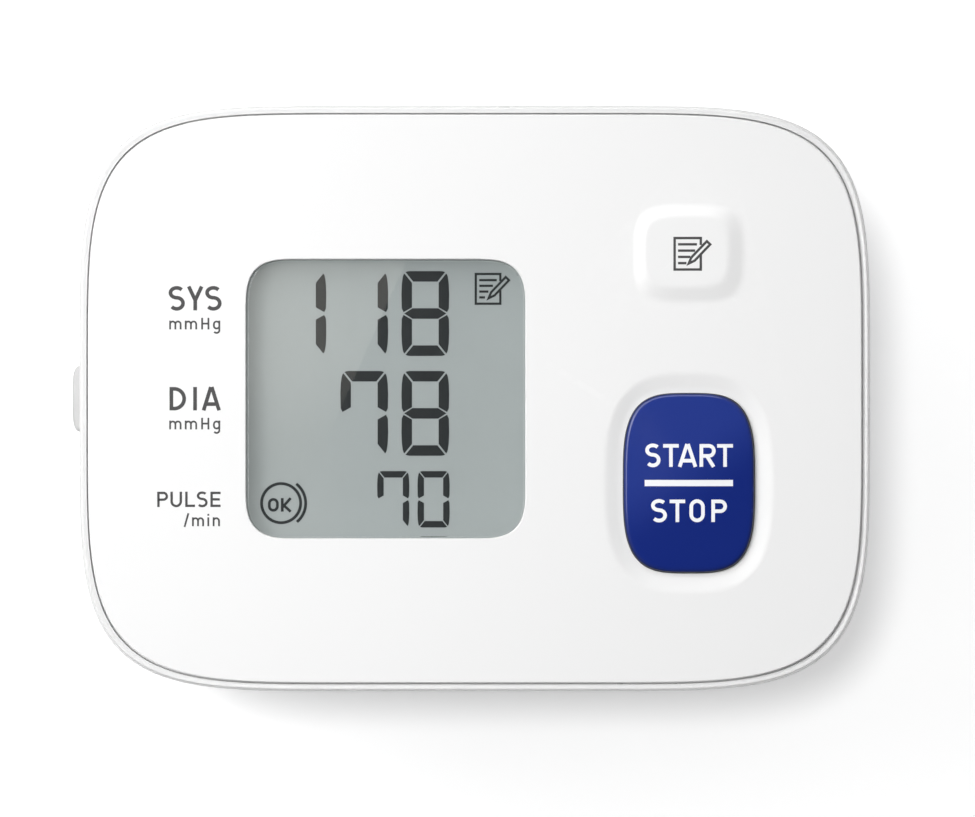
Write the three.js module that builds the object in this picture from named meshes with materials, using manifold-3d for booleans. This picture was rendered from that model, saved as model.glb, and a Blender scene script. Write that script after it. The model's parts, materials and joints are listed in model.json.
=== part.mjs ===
// Wrist blood pressure monitor: a display unit with two push buttons, the pump, valve and batteries
// inside it, and the curled cuff that closes under it.
// Millimetres. +Z points out of the display, +X to its right, +Y to its top. The closed cuff stands on z = 0.

import * as THREE from "three";
import { mergeVertices } from "three/addons/utils/BufferGeometryUtils.js";
import Module from "manifold-3d";

const wasm = await Module();
wasm.setup();

// Driving dimensions of the whole device

const gap = 0.3; // between two pieces that touch
const overrun = 1; // how far a cut runs past what it cuts
const mergeTolerance = 0.0005;

const unit = {
  halfWidth: 42,
  halfHeight: 31.1,
  depth: 21,
  topStraight: 10.8, // half the straight stretch along the top and bottom edges
  sideStraight: 0.92,
  power: 4.6, // of the superellipse corners
};

const wrist = {
  archRadius: 18, // inner radius of the cuff's two round ends
  archOffset: 13, // of those ends' centres from the middle
};

const shell = {
  wall: 1.6,
  floor: 1.6,
  faceWall: 1.8,
  backInset: 9.5, // the back is this much smaller all round than the widest line
  flankPower: 2.6,
  brimDrop: 1.8, // the widest line lies this far below the face
  rimDrop: 0.7, // the rim's top below the face
  rimWidth: 0.88, // from the outline to the middle of the parting line
  ledgeDrop: 3.5, // the ledge that carries the front cover, below the face
};
const rimShares = [
  [0.55, 0.05],
  [0.86, 0.2],
  [1, 0.5],
];

const faceEdgeRadius = 0.4;
const coverSkirtWall = 1.3;

const window = {
  centreX: -9.53,
  centreY: 0.07,
  halfSide: 14.82,
  cornerSize: 5.1,
  cornerPower: 3,
  recess: 0.4,
  flangeWidth: 1.6,
  flangeHeight: 0.8,
};

const startKey = {
  sideInset: 19.25, // of its centre from the unit's right side
  centreY: -8.98,
  halfX: 7,
  halfY: 9.45,
  power: 3.43,
  topRise: 0.3, // of its crown over the face
  edgeRadius: 0.45,
  travel: 0.8,
};
const dish = {
  halfX: 9.2,
  halfY: 11.95,
  power: 2.8,
  depth: 0.5,
};

const memoryKey = {
  sideInset: 19.14,
  centreY: 15.47,
  halfX: 5.85,
  halfY: 5.05,
  power: 3.2,
  plateauHalfX: 4.05,
  plateauHalfY: 3.35,
  topRise: 0.6,
  travel: 0.5,
};

const key = {
  flangeWidth: 1,
  flangeHeight: 0.8,
  wall: 1.2,
  postRadius: 1.6,
};

const toggle = {
  halfSide: 3,
  boreRadius: 1.8,
  stemRadius: 1.5,
  stemSink: 0.2, // of the stem in its bore at rest
};

const board = {
  inset: 3.2,
  thickness: 1.2,
  screwHoleRadius: 1.5,
};

const lcd = {
  halfSide: 15.8,
  thickness: 1.4,
  holderWall: 1.2,
  holderFloor: 0.8,
  stripHalfLength: 13,
  stripHalfWidth: 1.1,
  stripInset: 1.6,
  readingHalf: 12.4, // half the opening in the holder's floor
};

const chip = {
  holderClearance: 2, // between the display holder and the chip
  centreY: 3,
  halfSide: 3.6,
  height: 1.2,
};

const cell = {
  radius: 5.25,
  length: 44.5,
  nubRadius: 2.2,
  nubLength: 1,
  edgeRadius: 0.5,
  spacing: 11.2,
  sideInset: 6.2, // of the cells' ends from the unit's left side
};

const tray = {
  wall: 1,
  roof: 0.8,
  contactDepth: 4.6, // between the cells' ends and the tray's end wall
};

const contact = {
  thickness: 0.4,
  halfWidth: 3.6,
  halfHeight: 3.8,
};

const spring = {
  wireRadius: 0.35,
  largeRadius: 3.4,
  smallRadius: 2.2,
  turns: 3,
};

const hatch = {
  halfWidth: 13.6,
  height: 11.6, // up the left flank, from the floor
  tabHalfLength: 3.55,
  tabProud: 0.5, // beyond the unit's outline
  tabHeight: 2.6,
  tabThickness: 2,
  tabPower: 4,
  ribSpacing: 8,
  ribThickness: 1.2,
  ribHalfHeight: 3,
  legThickness: 0.8,
  legHalfHeight: 2,
};

const screw = {
  shankRadius: 1,
  holeRadius: 1.3,
  headRadius: 1.9,
  headHeight: 1.2,
  recessRadius: 2.3,
  recessDepth: 1.9,
  slotWidth: 0.6,
  slotDepth: 0.5,
};
const caseBossRadius = 3.2;
const coverBossRadius = 2.4;
const screwEndCover = 0.4; // left closed over each blind screw hole
const caseScrew = {
  rightInset: 7.5, // of the right screws from the unit's right side
  rightSpread: 12, // of the right screws from the middle line
  leftInset: 10,
  leftSpread: 15.8,
};
const screwGrip = 2; // of a case screw in the cover's boss

const cuffScrew = {
  x: 11,
  margin: 3.7, // from the band's edges
  bossRadius: 2.6,
  bossHeight: 5.4,
};

const pump = {
  bossClearance: 1.3, // between the pump and the right screw bosses
  height: 10,
  motorLength: 15,
  motorStartY: -21,
  headLength: 12,
  chamberDepth: 6,
  shaftRadius: 0.7,
  shaftSocketDepth: 2,
  camThickness: 3,
  tailLength: 0.8,
};
const pumpWidthShare = 0.764; // of the room between the battery tray and the right screw bosses
// Shares of the pump's half width
const chamberRadiusShare = 0.667;
const camRadiusShare = 0.417;
const camOffsetShare = 0.133;
const tailRadiusShare = 0.333;
const nozzleOffsetShare = 0.467;

const air = {
  nozzleRadius: 0.9,
  nozzleLength: 2.2,
  tubeRadius: 1.6,
  tubeBore: 1.2,
  lineHeight: 3.4, // of the tubes' middle above the floor
};

const manifold = {
  x: 4,
  trayClearance: 0.45, // between the battery tray and the manifold
  halfX: 4,
  halfY: 3.7,
  height: 6.4,
  portSpread: 1.9,
  portDepth: 1.5,
};

const valve = {
  distance: 5, // between the valve and the manifold
  length: 9,
  halfWidth: 3.7,
  height: 8,
  boreRadius: 2,
  boreDepth: 6,
  plungerRadius: 1.7,
  plungerLength: 5,
  travel: 0.5,
};

const sensor = {
  sideInset: 15.8,
  y: 16.4,
  halfSide: 3.4,
  height: 3.2,
};

const nipple = {
  radius: 1.4,
  bore: 0.8,
  flangeRadius: 2.9,
  flangeHeight: 0.8,
  socketRadius: 2.7,
  socketDepth: 2.6,
  holeRadius: 2.1,
  sealRadius: 0.4,
};

const cuff = {
  lining: 0.9,
  plate: 1,
  cover: 1,
  bladder: 1.8,
  halfWidth: 26.7,
  plateMargin: 1.3, // of the curl plate inside the band's edges
  bladderMargin: 6.3,
  bindingWidth: 0.8,
  bindingInset: 0.15,
  rootLength: 6.3, // of the band past the right end of its top run
  bladderFade: 9, // length over which the bladder thins out at its far end
  bladderEnd: 0.5, // thickness where the bladder stops
};
const bladderReachShare = 0.84; // of the left arch
const inwardArmShare = 0.72; // of the right arch that the lower end of the band follows

const tail = {
  thickness: 2,
  margin: 3.2, // of the tail inside the band's edges
  patch: 0.6,
  patchMargin: 3.5, // of the hook patch inside the tail's edges
};
const tailReachShare = 0.77; // of the right arch
const patchShares = [0.33, 0.74];

// Fineness of the curves

const quarterSteps = 9;
const keyQuarterSteps = 7;
const flankSteps = 7;
const cavitySteps = 4;
const roundSteps = 4;
const archSteps = 18;
const fadeSteps = 6;
const rodSides = 20;
const fineSides = 12;
const tubeSides = 8;
const tubeSteps = 10;
const wireSides = 6;

// Heights that follow from the dimensions, measured from the unit's back

const brim = unit.depth - shell.brimDrop;
const rimTop = unit.depth - shell.rimDrop;
const ledge = unit.depth - shell.ledgeDrop;
const faceUnderside = unit.depth - shell.faceWall;
const bayHeight = shell.floor + gap + 2 * cell.radius + gap;
const trayTop = bayHeight + tray.roof;
const boardBottom = trayTop + gap;
const boardTop = boardBottom + board.thickness;
const holderBottom = boardTop + gap;
const glassBottom = holderBottom + lcd.holderFloor + gap;
const glassTop = glassBottom + lcd.thickness;
const lineZ = shell.floor + air.lineHeight;

// Places and widths that follow from them

const holderInnerHalf = lcd.halfSide + gap;
const holderOuterHalf = holderInnerHalf + lcd.holderWall;
const chipX = window.centreX + holderOuterHalf + chip.holderClearance + chip.halfSide;
const sensorX = unit.halfWidth - sensor.sideInset;
const rightScrewX = unit.halfWidth - caseScrew.rightInset;
const leftScrewX = caseScrew.leftInset - unit.halfWidth;
const screwPlaces = [
  [rightScrewX, caseScrew.rightSpread],
  [rightScrewX, -caseScrew.rightSpread],
  [leftScrewX, caseScrew.leftSpread],
  [leftScrewX, -caseScrew.leftSpread],
];

const cellStartX = cell.sideInset - unit.halfWidth;
const cellEndX = cellStartX + cell.length;
const wallX = cellEndX + tray.contactDepth;
const trayInnerHalf = cell.spacing / 2 + cell.radius + gap;
const trayOuterHalf = trayInnerHalf + tray.wall;
const trayEndX = wallX + tray.wall;

const pumpRightX = rightScrewX - caseBossRadius - pump.bossClearance;
const pumpHalfWidth = (pumpWidthShare * (pumpRightX - trayEndX)) / 2;
const pumpX = pumpRightX - pumpHalfWidth;
const manifoldY = trayOuterHalf + manifold.trayClearance + manifold.halfY;

const cuffScrewY = cuff.halfWidth - cuffScrew.margin;
const plateHalfWidth = cuff.halfWidth - cuff.plateMargin;
const bladderHalfWidth = cuff.halfWidth - cuff.bladderMargin;
const tailHalfWidth = cuff.halfWidth - tail.margin;
const patchHalfWidth = tailHalfWidth - tail.patchMargin;

// Heights of the cuff and of the unit over it

const plateStack = gap + cuff.plate + gap + cuff.cover;
const thinStack = cuff.lining + plateStack;
const fullStack = thinStack + cuff.bladder + gap;
const archZ = thinStack + wrist.archRadius;
const unitZ = archZ + wrist.archRadius + fullStack + gap;

// Materials

const matter = (color, roughness, metalness) =>
  new THREE.MeshStandardMaterial({ color, roughness, metalness });
const whitePlastic = matter(0xf2f2f0, 0.45, 0);
const bluePlastic = matter(0x22338a, 0.35, 0);
const greyPlastic = matter(0xdcdcda, 0.5, 0);
const clearPlastic = matter(0xc4cdca, 0.05, 0);
const displayGlass = matter(0xa9b0ae, 0.15, 0);
const darkPlastic = matter(0x2a2c2e, 0.5, 0);
const conductiveRubber = matter(0x33363a, 0.8, 0);
const boardLaminate = matter(0x1f6b43, 0.5, 0);
const steel = matter(0xb9bcc0, 0.3, 1);
const springSteel = matter(0xc8c6be, 0.3, 1);
const cellJacket = matter(0x3c4654, 0.35, 0.4);
const silicone = matter(0xd9dbd6, 0.6, 0);
const brass = matter(0xb59a57, 0.35, 1);
const vinyl = matter(0x8f969c, 0.6, 0);
const curlPlastic = matter(0xc9ccd0, 0.5, 0);
const greyCloth = matter(0x8d9095, 0.95, 0);
const darkCloth = matter(0x55585c, 0.95, 0);

// Solids: joins, cuts and the basic forms

const solid = (geometry) => {
  const bare = new THREE.BufferGeometry();
  bare.setAttribute("position", geometry.getAttribute("position"));
  bare.setIndex(geometry.getIndex());
  const merged = mergeVertices(bare, mergeTolerance);
  const triVerts = new Uint32Array(merged.getIndex().array);
  const vertProperties = merged.getAttribute("position").array;
  return new wasm.Manifold(new wasm.Mesh({ numProp: 3, vertProperties, triVerts }));
};

const joined = (solids) => solids.reduce((whole, next) => whole.add(next));

const cutBy = (body, tools) => tools.reduce((left, tool) => left.subtract(tool), body);

const geometryOf = (body) => {
  const { numProp, vertProperties, triVerts } = body.getMesh();
  const positions = new Float32Array(triVerts.length * 3);
  triVerts.forEach((vertex, corner) => {
    const start = vertex * numProp;
    positions.set(vertProperties.subarray(start, start + 3), corner * 3);
  });
  const geometry = new THREE.BufferGeometry();
  geometry.setAttribute("position", new THREE.BufferAttribute(positions, 3));
  geometry.computeVertexNormals();
  return geometry;
};

const piece = (name, body, material) => {
  const mesh = new THREE.Mesh(geometryOf(body), material.clone());
  mesh.name = name;
  return mesh;
};

// A box between two corners.
const box = (low, high) => {
  const [sizeX, sizeY, sizeZ] = low.map((value, axis) => high[axis] - value);
  const [x, y, z] = low.map((value, axis) => (value + high[axis]) / 2);
  return solid(new THREE.BoxGeometry(sizeX, sizeY, sizeZ).translate(x, y, z));
};

// A box given by its middle and half sizes in X and Y, between two heights.
const block = (x, y, halfX, halfY, bottom, top) =>
  box([x - halfX, y - halfY, bottom], [x + halfX, y + halfY, top]);

// A round rod between two points.
const rod = (radius, from, to, sides = rodSides) => {
  const start = new THREE.Vector3(...from);
  const along = new THREE.Vector3(...to).sub(start);
  const up = new THREE.Vector3(0, 1, 0);
  const turn = new THREE.Quaternion().setFromUnitVectors(up, along.clone().normalize());
  const middle = start.clone().addScaledVector(along, 1 / 2);
  const geometry = new THREE.CylinderGeometry(radius, radius, along.length(), sides);
  return solid(geometry.applyQuaternion(turn).translate(middle.x, middle.y, middle.z));
};

const uprightRod = (radius, x, y, bottom, top, sides) =>
  rod(radius, [x, y, bottom], [x, y, top], sides);

// Points of a closed outline at one height: four superellipse quarters with straights between them.
// x = straightX + (halfX - straightX) * cos(t)^(2 / power), and y likewise with sin(t).
const ring = (outline, inset, z, steps = quarterSteps) => {
  const { x = 0, y = 0, halfX, halfY, straightX = 0, straightY = 0, power } = outline;
  const points = [];
  for (let quarter = 0; quarter < 4; quarter += 1) {
    const signX = quarter === 1 || quarter === 2 ? -1 : 1;
    const signY = quarter >= 2 ? -1 : 1;
    const meetsLast = quarter % 2 ? straightX === 0 : straightY === 0;
    for (let step = meetsLast ? 1 : 0; step <= steps; step += 1) {
      const share = quarter % 2 ? 1 - step / steps : step / steps;
      const angle = (share * Math.PI) / 2;
      const reachX = (halfX - inset - straightX) * Math.max(Math.cos(angle), 0) ** (2 / power);
      const reachY = (halfY - inset - straightY) * Math.sin(angle) ** (2 / power);
      points.push(
        new THREE.Vector3(x + signX * (straightX + reachX), y + signY * (straightY + reachY), z),
      );
    }
  }
  return points;
};

// A closed skin through rings of equal count, from the lowest ring to the highest, with flat ends.
const loft = (rings) => {
  const count = rings[0].length;
  const middleOf = (points) =>
    points.reduce((sum, point) => sum.add(point), new THREE.Vector3()).divideScalar(count);
  const last = rings.length - 1;
  const points = [...rings.flat(), middleOf(rings[0]), middleOf(rings[last])];
  const lowMiddle = count * rings.length;
  const highMiddle = lowMiddle + 1;
  const faces = [];
  for (let i = 0; i < count; i += 1) {
    const next = (i + 1) % count;
    for (let level = 0; level < last; level += 1) {
      const low = level * count;
      const high = low + count;
      faces.push(low + i, low + next, high + next, low + i, high + next, high + i);
    }
    faces.push(lowMiddle, next, i, highMiddle, last * count + i, last * count + next);
  }
  return solid(new THREE.BufferGeometry().setFromPoints(points).setIndex(faces));
};

const prism = (outline, inset, bottom, top, steps) =>
  loft([ring(outline, inset, bottom, steps), ring(outline, inset, top, steps)]);

// A profile drawn in X and Z, carried along Y from -halfWidth to +halfWidth.
const slab = (profile, halfWidth, holes = []) => {
  const shape = new THREE.Shape(profile);
  shape.holes = holes.map((points) => new THREE.Path(points));
  const geometry = new THREE.ExtrudeGeometry(shape, { depth: 2 * halfWidth, bevelEnabled: false });
  return solid(geometry.translate(0, 0, -halfWidth).rotateX(Math.PI / 2));
};

// A round tube with an open bore along a smooth path.
const tube = (points, radius, bore, steps) => {
  const path = new THREE.CatmullRomCurve3(points.map((point) => new THREE.Vector3(...point)));
  const section = new THREE.Shape().absarc(0, 0, radius, 0, 2 * Math.PI);
  section.holes.push(new THREE.Path().absarc(0, 0, bore, 0, 2 * Math.PI, true));
  const options = { steps, extrudePath: path, curveSegments: tubeSides / 2 };
  return solid(new THREE.ExtrudeGeometry(section, options));
};

// Unit outline and flanks

const unitOutline = {
  halfX: unit.halfWidth,
  halfY: unit.halfHeight,
  straightX: unit.topStraight,
  straightY: unit.sideStraight,
  power: unit.power,
};

// How far the flank lies inside the outline at a height: a superellipse from the brim round to the back.
const flankInset = (z) => {
  const drop = Math.min(Math.max((brim - z) / brim, 0), 1);
  const reach = (1 - drop ** shell.flankPower) ** (1 / shell.flankPower);
  return shell.backInset * (1 - reach);
};

// Heights from one to another that crowd towards the back, where the flank turns fastest.
const flankHeights = (from, to, steps) => {
  const heights = [];
  for (let step = 0; step <= steps; step += 1) {
    const share = (step / steps) ** 2;
    heights.push(from + (to - from) * share);
  }
  return heights;
};

const flankRings = (from, to, inset, steps) =>
  flankHeights(from, to, steps).map((z) => ring(unitOutline, flankInset(z) + inset, z));

const caseBody = () => {
  const rimHeight = rimTop - brim;
  const rims = rimShares.map(([up, inward]) =>
    ring(unitOutline, inward * (shell.rimWidth - gap / 2), brim + up * rimHeight),
  );
  return loft([...flankRings(0, brim, 0, flankSteps), ...rims]);
};

const caseCavity = () => {
  const openInset = shell.rimWidth - gap / 2;
  const lower = flankRings(shell.floor, ledge, shell.wall, cavitySteps);
  const upper = [ledge, rimTop + overrun].map((z) => ring(unitOutline, openInset, z));
  return loft([...lower, ...upper]);
};

// Rear case

const hatchTop = shell.floor + hatch.height;
const hatchInnerX = cellStartX + gap;

const hatchOpening = () =>
  box(
    [-unit.halfWidth - overrun, -hatch.halfWidth - gap, shell.floor],
    [hatchInnerX, hatch.halfWidth + gap, hatchTop + gap],
  );

const cuffScrewPlaces = [
  [cuffScrew.x, cuffScrewY],
  [cuffScrew.x, -cuffScrewY],
  [-cuffScrew.x, cuffScrewY],
  [-cuffScrew.x, -cuffScrewY],
];

const cuffBossTop = shell.floor + cuffScrew.bossHeight;

const rearCase = () => {
  const body = caseBody();
  const bosses = [
    ...screwPlaces.map(([x, y]) => uprightRod(caseBossRadius, x, y, 0, boardBottom - gap)),
    ...cuffScrewPlaces.map(([x, y]) => uprightRod(cuffScrew.bossRadius, x, y, 0, cuffBossTop)),
  ];
  const hollow = cutBy(body, [caseCavity(), hatchOpening()]);
  const seatedBosses = joined(bosses).intersect(body);
  const holes = [
    ...screwPlaces.flatMap(([x, y]) => [
      uprightRod(screw.recessRadius, x, y, -overrun, screw.recessDepth),
      uprightRod(screw.holeRadius, x, y, -overrun, unit.depth, fineSides),
    ]),
    ...cuffScrewPlaces.map(([x, y]) =>
      uprightRod(screw.holeRadius, x, y, -overrun, cuffBossTop - screwEndCover, fineSides),
    ),
    uprightRod(nipple.holeRadius, manifold.x, manifoldY, -overrun, shell.floor + overrun),
  ];
  return cutBy(hollow.add(seatedBosses), holes);
};

// Battery cover: the part of the left flank that comes away, with its finger tab, ribs and side legs

const batteryCover = () => {
  const region = box(
    [-unit.halfWidth - overrun, -hatch.halfWidth, shell.floor + gap],
    [hatchInnerX - gap, hatch.halfWidth, hatchTop],
  );
  const middleZ = shell.floor + gap + cell.radius;
  const linkX = cellStartX - gap - contact.thickness - gap;
  const ribs = [-1, 0, 1].map((side) =>
    box(
      [-unit.halfWidth, side * hatch.ribSpacing - hatch.ribThickness / 2, middleZ - hatch.ribHalfHeight],
      [linkX, side * hatch.ribSpacing + hatch.ribThickness / 2, middleZ + hatch.ribHalfHeight],
    ),
  );
  const legY = trayOuterHalf + gap;
  const legs = [-1, 1].map((side) => {
    const edges = [side * legY, side * (legY + hatch.legThickness)];
    return box(
      [-unit.halfWidth, Math.min(...edges), middleZ - hatch.legHalfHeight],
      [hatchInnerX - gap, Math.max(...edges), middleZ + hatch.legHalfHeight],
    );
  });
  const skin = caseBody().subtract(caseCavity()).intersect(region);
  const inner = joined([...ribs, ...legs]).intersect(caseBody());
  const tabOutline = {
    x: -unit.halfWidth - hatch.tabProud + hatch.tabThickness / 2,
    halfX: hatch.tabThickness / 2,
    halfY: hatch.tabHalfLength,
    power: hatch.tabPower,
  };
  const tab = prism(tabOutline, 0, hatchTop - hatch.tabHeight, hatchTop, keyQuarterSteps);
  return joined([skin, inner, tab]);
};

// Front cover: a shallow tray with the window opening, the dished button place and the memory key place

const coverInset = shell.rimWidth + gap / 2;

const windowOutline = (growth) => ({
  x: window.centreX,
  y: window.centreY,
  halfX: window.halfSide + growth,
  halfY: window.halfSide + growth,
  straightX: window.halfSide - window.cornerSize,
  straightY: window.halfSide - window.cornerSize,
  power: window.cornerPower,
});

const keyOutline = (sizes, growth) => ({
  x: unit.halfWidth - sizes.sideInset,
  y: sizes.centreY,
  halfX: sizes.halfX + growth,
  halfY: sizes.halfY + growth,
  power: sizes.power,
});

// Rings of a soft slope between two outlines, falling as half a cosine wave.
const slopeRings = (from, to, fromZ, toZ) => {
  const rings = [];
  for (let step = 0; step <= roundSteps; step += 1) {
    const share = step / roundSteps;
    const rise = (1 - Math.cos(share * Math.PI)) / 2;
    const mix = (name) => from[name] + (to[name] - from[name]) * share;
    const outline = { ...from, halfX: mix("halfX"), halfY: mix("halfY"), power: mix("power") };
    rings.push(ring(outline, 0, fromZ + (toZ - fromZ) * rise, keyQuarterSteps));
  }
  return rings;
};

const startPlace = () => {
  const hole = keyOutline(startKey, gap);
  const wide = { ...hole, halfX: dish.halfX, halfY: dish.halfY, power: dish.power };
  return loft([
    ring(hole, 0, ledge, keyQuarterSteps),
    ...slopeRings(hole, wide, unit.depth - dish.depth, unit.depth),
    ring(wide, 0, unit.depth + overrun, keyQuarterSteps),
  ]);
};

const frontCover = () => {
  const skirtBottom = ledge + gap;
  const edge = [];
  for (let step = 0; step <= roundSteps; step += 1) {
    const angle = ((step / roundSteps) * Math.PI) / 2;
    const inset = coverInset + faceEdgeRadius * (1 - Math.cos(angle));
    edge.push(ring(unitOutline, inset, unit.depth - faceEdgeRadius * (1 - Math.sin(angle))));
  }
  const body = loft([ring(unitOutline, coverInset, skirtBottom), ...edge]);
  const hollow = prism(unitOutline, coverInset + coverSkirtWall, skirtBottom - overrun, faceUnderside);
  const bossBottom = boardTop + gap;
  const bosses = screwPlaces.map(([x, y]) =>
    uprightRod(coverBossRadius, x, y, bossBottom, faceUnderside + overrun / 2),
  );
  const tools = [
    prism(windowOutline(0), 0, ledge, unit.depth + overrun),
    startPlace(),
    prism(keyOutline(memoryKey, gap), 0, ledge, unit.depth + overrun, keyQuarterSteps),
    ...screwPlaces.map(([x, y]) =>
      uprightRod(screw.holeRadius, x, y, bossBottom - overrun, bossBottom + screwGrip + gap, fineSides),
    ),
  ];
  return cutBy(body.subtract(hollow).add(joined(bosses)), tools);
};

// Display window: a clear plate that fills the opening from behind, held by its flange

const displayWindow = () => {
  const flangeTop = faceUnderside - gap;
  const top = unit.depth - window.recess;
  const plate = prism(windowOutline(-gap), 0, flangeTop - window.flangeHeight, top);
  const flange = prism(windowOutline(window.flangeWidth), 0, flangeTop - window.flangeHeight, flangeTop);
  return plate.add(flange);
};

// Display module: the liquid crystal glass in its holder, with a contact strip along two edges

const stripY = lcd.halfSide - lcd.stripInset;

const lcdGlass = () =>
  block(window.centreX, window.centreY, lcd.halfSide, lcd.halfSide, glassBottom, glassTop);

const lcdHolder = () => {
  const readingHalfY = stripY - lcd.stripInset - lcd.stripHalfWidth;
  const { centreX: x, centreY: y } = window;
  const body = block(x, y, holderOuterHalf, holderOuterHalf, holderBottom, glassTop);
  const slots = [-1, 1].map((side) =>
    block(
      x,
      y + side * stripY,
      lcd.stripHalfLength + gap,
      lcd.stripHalfWidth + gap,
      holderBottom - overrun,
      glassBottom,
    ),
  );
  return cutBy(body, [
    block(x, y, holderInnerHalf, holderInnerHalf, glassBottom - gap, glassTop + overrun),
    block(x, y, lcd.readingHalf, readingHalfY, holderBottom - overrun, glassTop),
    ...slots,
  ]);
};

const contactStrip = (side) =>
  block(
    window.centreX,
    window.centreY + side * stripY,
    lcd.stripHalfLength,
    lcd.stripHalfWidth,
    boardTop + gap,
    glassBottom - gap,
  );

// Circuit board, its controller chip and its two switches

const circuitBoard = () =>
  cutBy(
    prism(unitOutline, board.inset, boardBottom, boardTop),
    screwPlaces.map(([x, y]) =>
      uprightRod(board.screwHoleRadius, x, y, boardBottom - overrun, boardTop + overrun, fineSides),
    ),
  );

const mainChip = () => {
  const bottom = boardTop + gap;
  return block(chipX, chip.centreY, chip.halfSide, chip.halfSide, bottom, bottom + chip.height);
};

const keyBottom = faceUnderside - gap - key.flangeHeight;
const switchTopOf = (sizes) => keyBottom - sizes.travel - gap;

const switchBody = (sizes) => {
  const { x, y } = keyOutline(sizes, 0);
  const { travel } = sizes;
  const top = switchTopOf(sizes);
  const boreBottom = top - toggle.stemSink - travel - gap;
  return block(x, y, toggle.halfSide, toggle.halfSide, boardTop + gap, top).subtract(
    uprightRod(toggle.boreRadius, x, y, boreBottom, top + overrun, fineSides),
  );
};

const switchStem = (sizes) => {
  const { x, y } = keyOutline(sizes, 0);
  return uprightRod(
    toggle.stemRadius,
    x,
    y,
    switchTopOf(sizes) - toggle.stemSink,
    keyBottom - gap,
    fineSides,
  );
};

// A push key: a hollow cap with a flange behind the face and a post over its switch.
const hollowKey = (sizes, cap) => {
  const wide = keyOutline(sizes, key.flangeWidth);
  const flange = prism(wide, 0, keyBottom, keyBottom + key.flangeHeight, keyQuarterSteps);
  const hollow = prism(
    keyOutline(sizes, -key.wall),
    0,
    keyBottom - overrun,
    unit.depth - shell.faceWall + key.wall / 2,
    keyQuarterSteps,
  );
  const post = uprightRod(
    key.postRadius,
    wide.x,
    wide.y,
    keyBottom,
    faceUnderside + key.wall,
    fineSides,
  );
  return cap.add(flange).subtract(hollow).add(post);
};

const startButton = () => {
  const outline = keyOutline(startKey, 0);
  const top = unit.depth + startKey.topRise;
  const edge = [];
  for (let step = 0; step <= roundSteps; step += 1) {
    const angle = ((step / roundSteps) * Math.PI) / 2;
    const inset = startKey.edgeRadius * (1 - Math.cos(angle));
    edge.push(ring(outline, inset, top - startKey.edgeRadius * (1 - Math.sin(angle)), keyQuarterSteps));
  }
  return hollowKey(startKey, loft([ring(outline, 0, keyBottom, keyQuarterSteps), ...edge]));
};

const memoryButton = () => {
  const foot = keyOutline(memoryKey, 0);
  const plateau = { ...foot, halfX: memoryKey.plateauHalfX, halfY: memoryKey.plateauHalfY };
  const cap = loft([
    ring(foot, 0, keyBottom, keyQuarterSteps),
    ...slopeRings(foot, plateau, unit.depth, unit.depth + memoryKey.topRise),
  ]);
  return hollowKey(memoryKey, cap);
};

// Batteries, their tray and their contacts

const cellZ = shell.floor + gap + cell.radius;

// A cell turned about its own axis; side is -1 or 1, and nubAt the end that holds its positive nub.
const battery = (side, nubAt) => {
  const { radius, length, nubLength, nubRadius, edgeRadius } = cell;
  const outline = [
    [0, 0],
    [radius - edgeRadius, 0],
    [radius, edgeRadius],
    [radius, length - nubLength - edgeRadius],
    [radius - edgeRadius, length - nubLength],
    [nubRadius, length - nubLength],
    [nubRadius, length],
    [0, length],
  ].map(([x, y]) => new THREE.Vector2(x, y));
  const geometry = new THREE.LatheGeometry(outline, rodSides);
  const turn = nubAt === "right" ? -Math.PI / 2 : Math.PI / 2;
  const x = nubAt === "right" ? cellStartX : cellEndX;
  return solid(geometry.rotateZ(turn).translate(x, (side * cell.spacing) / 2, cellZ));
};

const batteryTray = () => {
  const bottom = shell.floor + gap;
  const body = box(
    [cellStartX + gap, -trayOuterHalf, bottom],
    [trayEndX, trayOuterHalf, trayTop],
  );
  return body.subtract(
    box([cellStartX - overrun, -trayInnerHalf, bottom - overrun], [wallX, trayInnerHalf, bayHeight]),
  );
};

// The flat plate behind the spring, and the plate bowed towards the nub of the other cell.
const springPlate = () =>
  box(
    [wallX - gap - contact.thickness, cell.spacing / 2 - contact.halfWidth, cellZ - contact.halfHeight],
    [wallX - gap, cell.spacing / 2 + contact.halfWidth, cellZ + contact.halfHeight],
  );

const batteryContact = () => {
  const back = wallX - gap;
  const front = cellEndX + gap;
  const bow = [];
  for (let step = 0; step <= fadeSteps; step += 1) {
    const share = step / fadeSteps;
    const reach = Math.sin(share * Math.PI) ** 2;
    const x = back - contact.thickness - (back - contact.thickness - front) * reach;
    bow.push(new THREE.Vector2(x, cellZ + (2 * share - 1) * contact.halfHeight));
  }
  const outer = bow.map((point) => new THREE.Vector2(point.x + contact.thickness, point.y)).reverse();
  return slab([...bow, ...outer], contact.halfWidth / 2);
};

class ConeHelix extends THREE.Curve {
  getPoint(share) {
    const from = wallX - gap - contact.thickness - gap - spring.wireRadius;
    const to = cellEndX + gap + spring.wireRadius;
    const angle = share * spring.turns * 2 * Math.PI;
    const radius = spring.largeRadius + (spring.smallRadius - spring.largeRadius) * share;
    const x = from + (to - from) * share;
    return new THREE.Vector3(
      x,
      cell.spacing / 2 + radius * Math.cos(angle),
      cellZ + radius * Math.sin(angle),
    );
  }
}

const batterySpring = () => {
  const wire = new THREE.Shape().absarc(0, 0, spring.wireRadius, 0, 2 * Math.PI);
  const steps = spring.turns * fineSides;
  return solid(
    new THREE.ExtrudeGeometry(wire, { steps, extrudePath: new ConeHelix(), curveSegments: wireSides / 2 }),
  );
};

const linkPlate = () => {
  const front = cellStartX - gap;
  const halfWidth = cell.spacing / 2 + contact.halfWidth;
  return box(
    [front - contact.thickness, -halfWidth, cellZ - contact.halfHeight],
    [front, halfWidth, cellZ + contact.halfHeight],
  );
};

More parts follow.
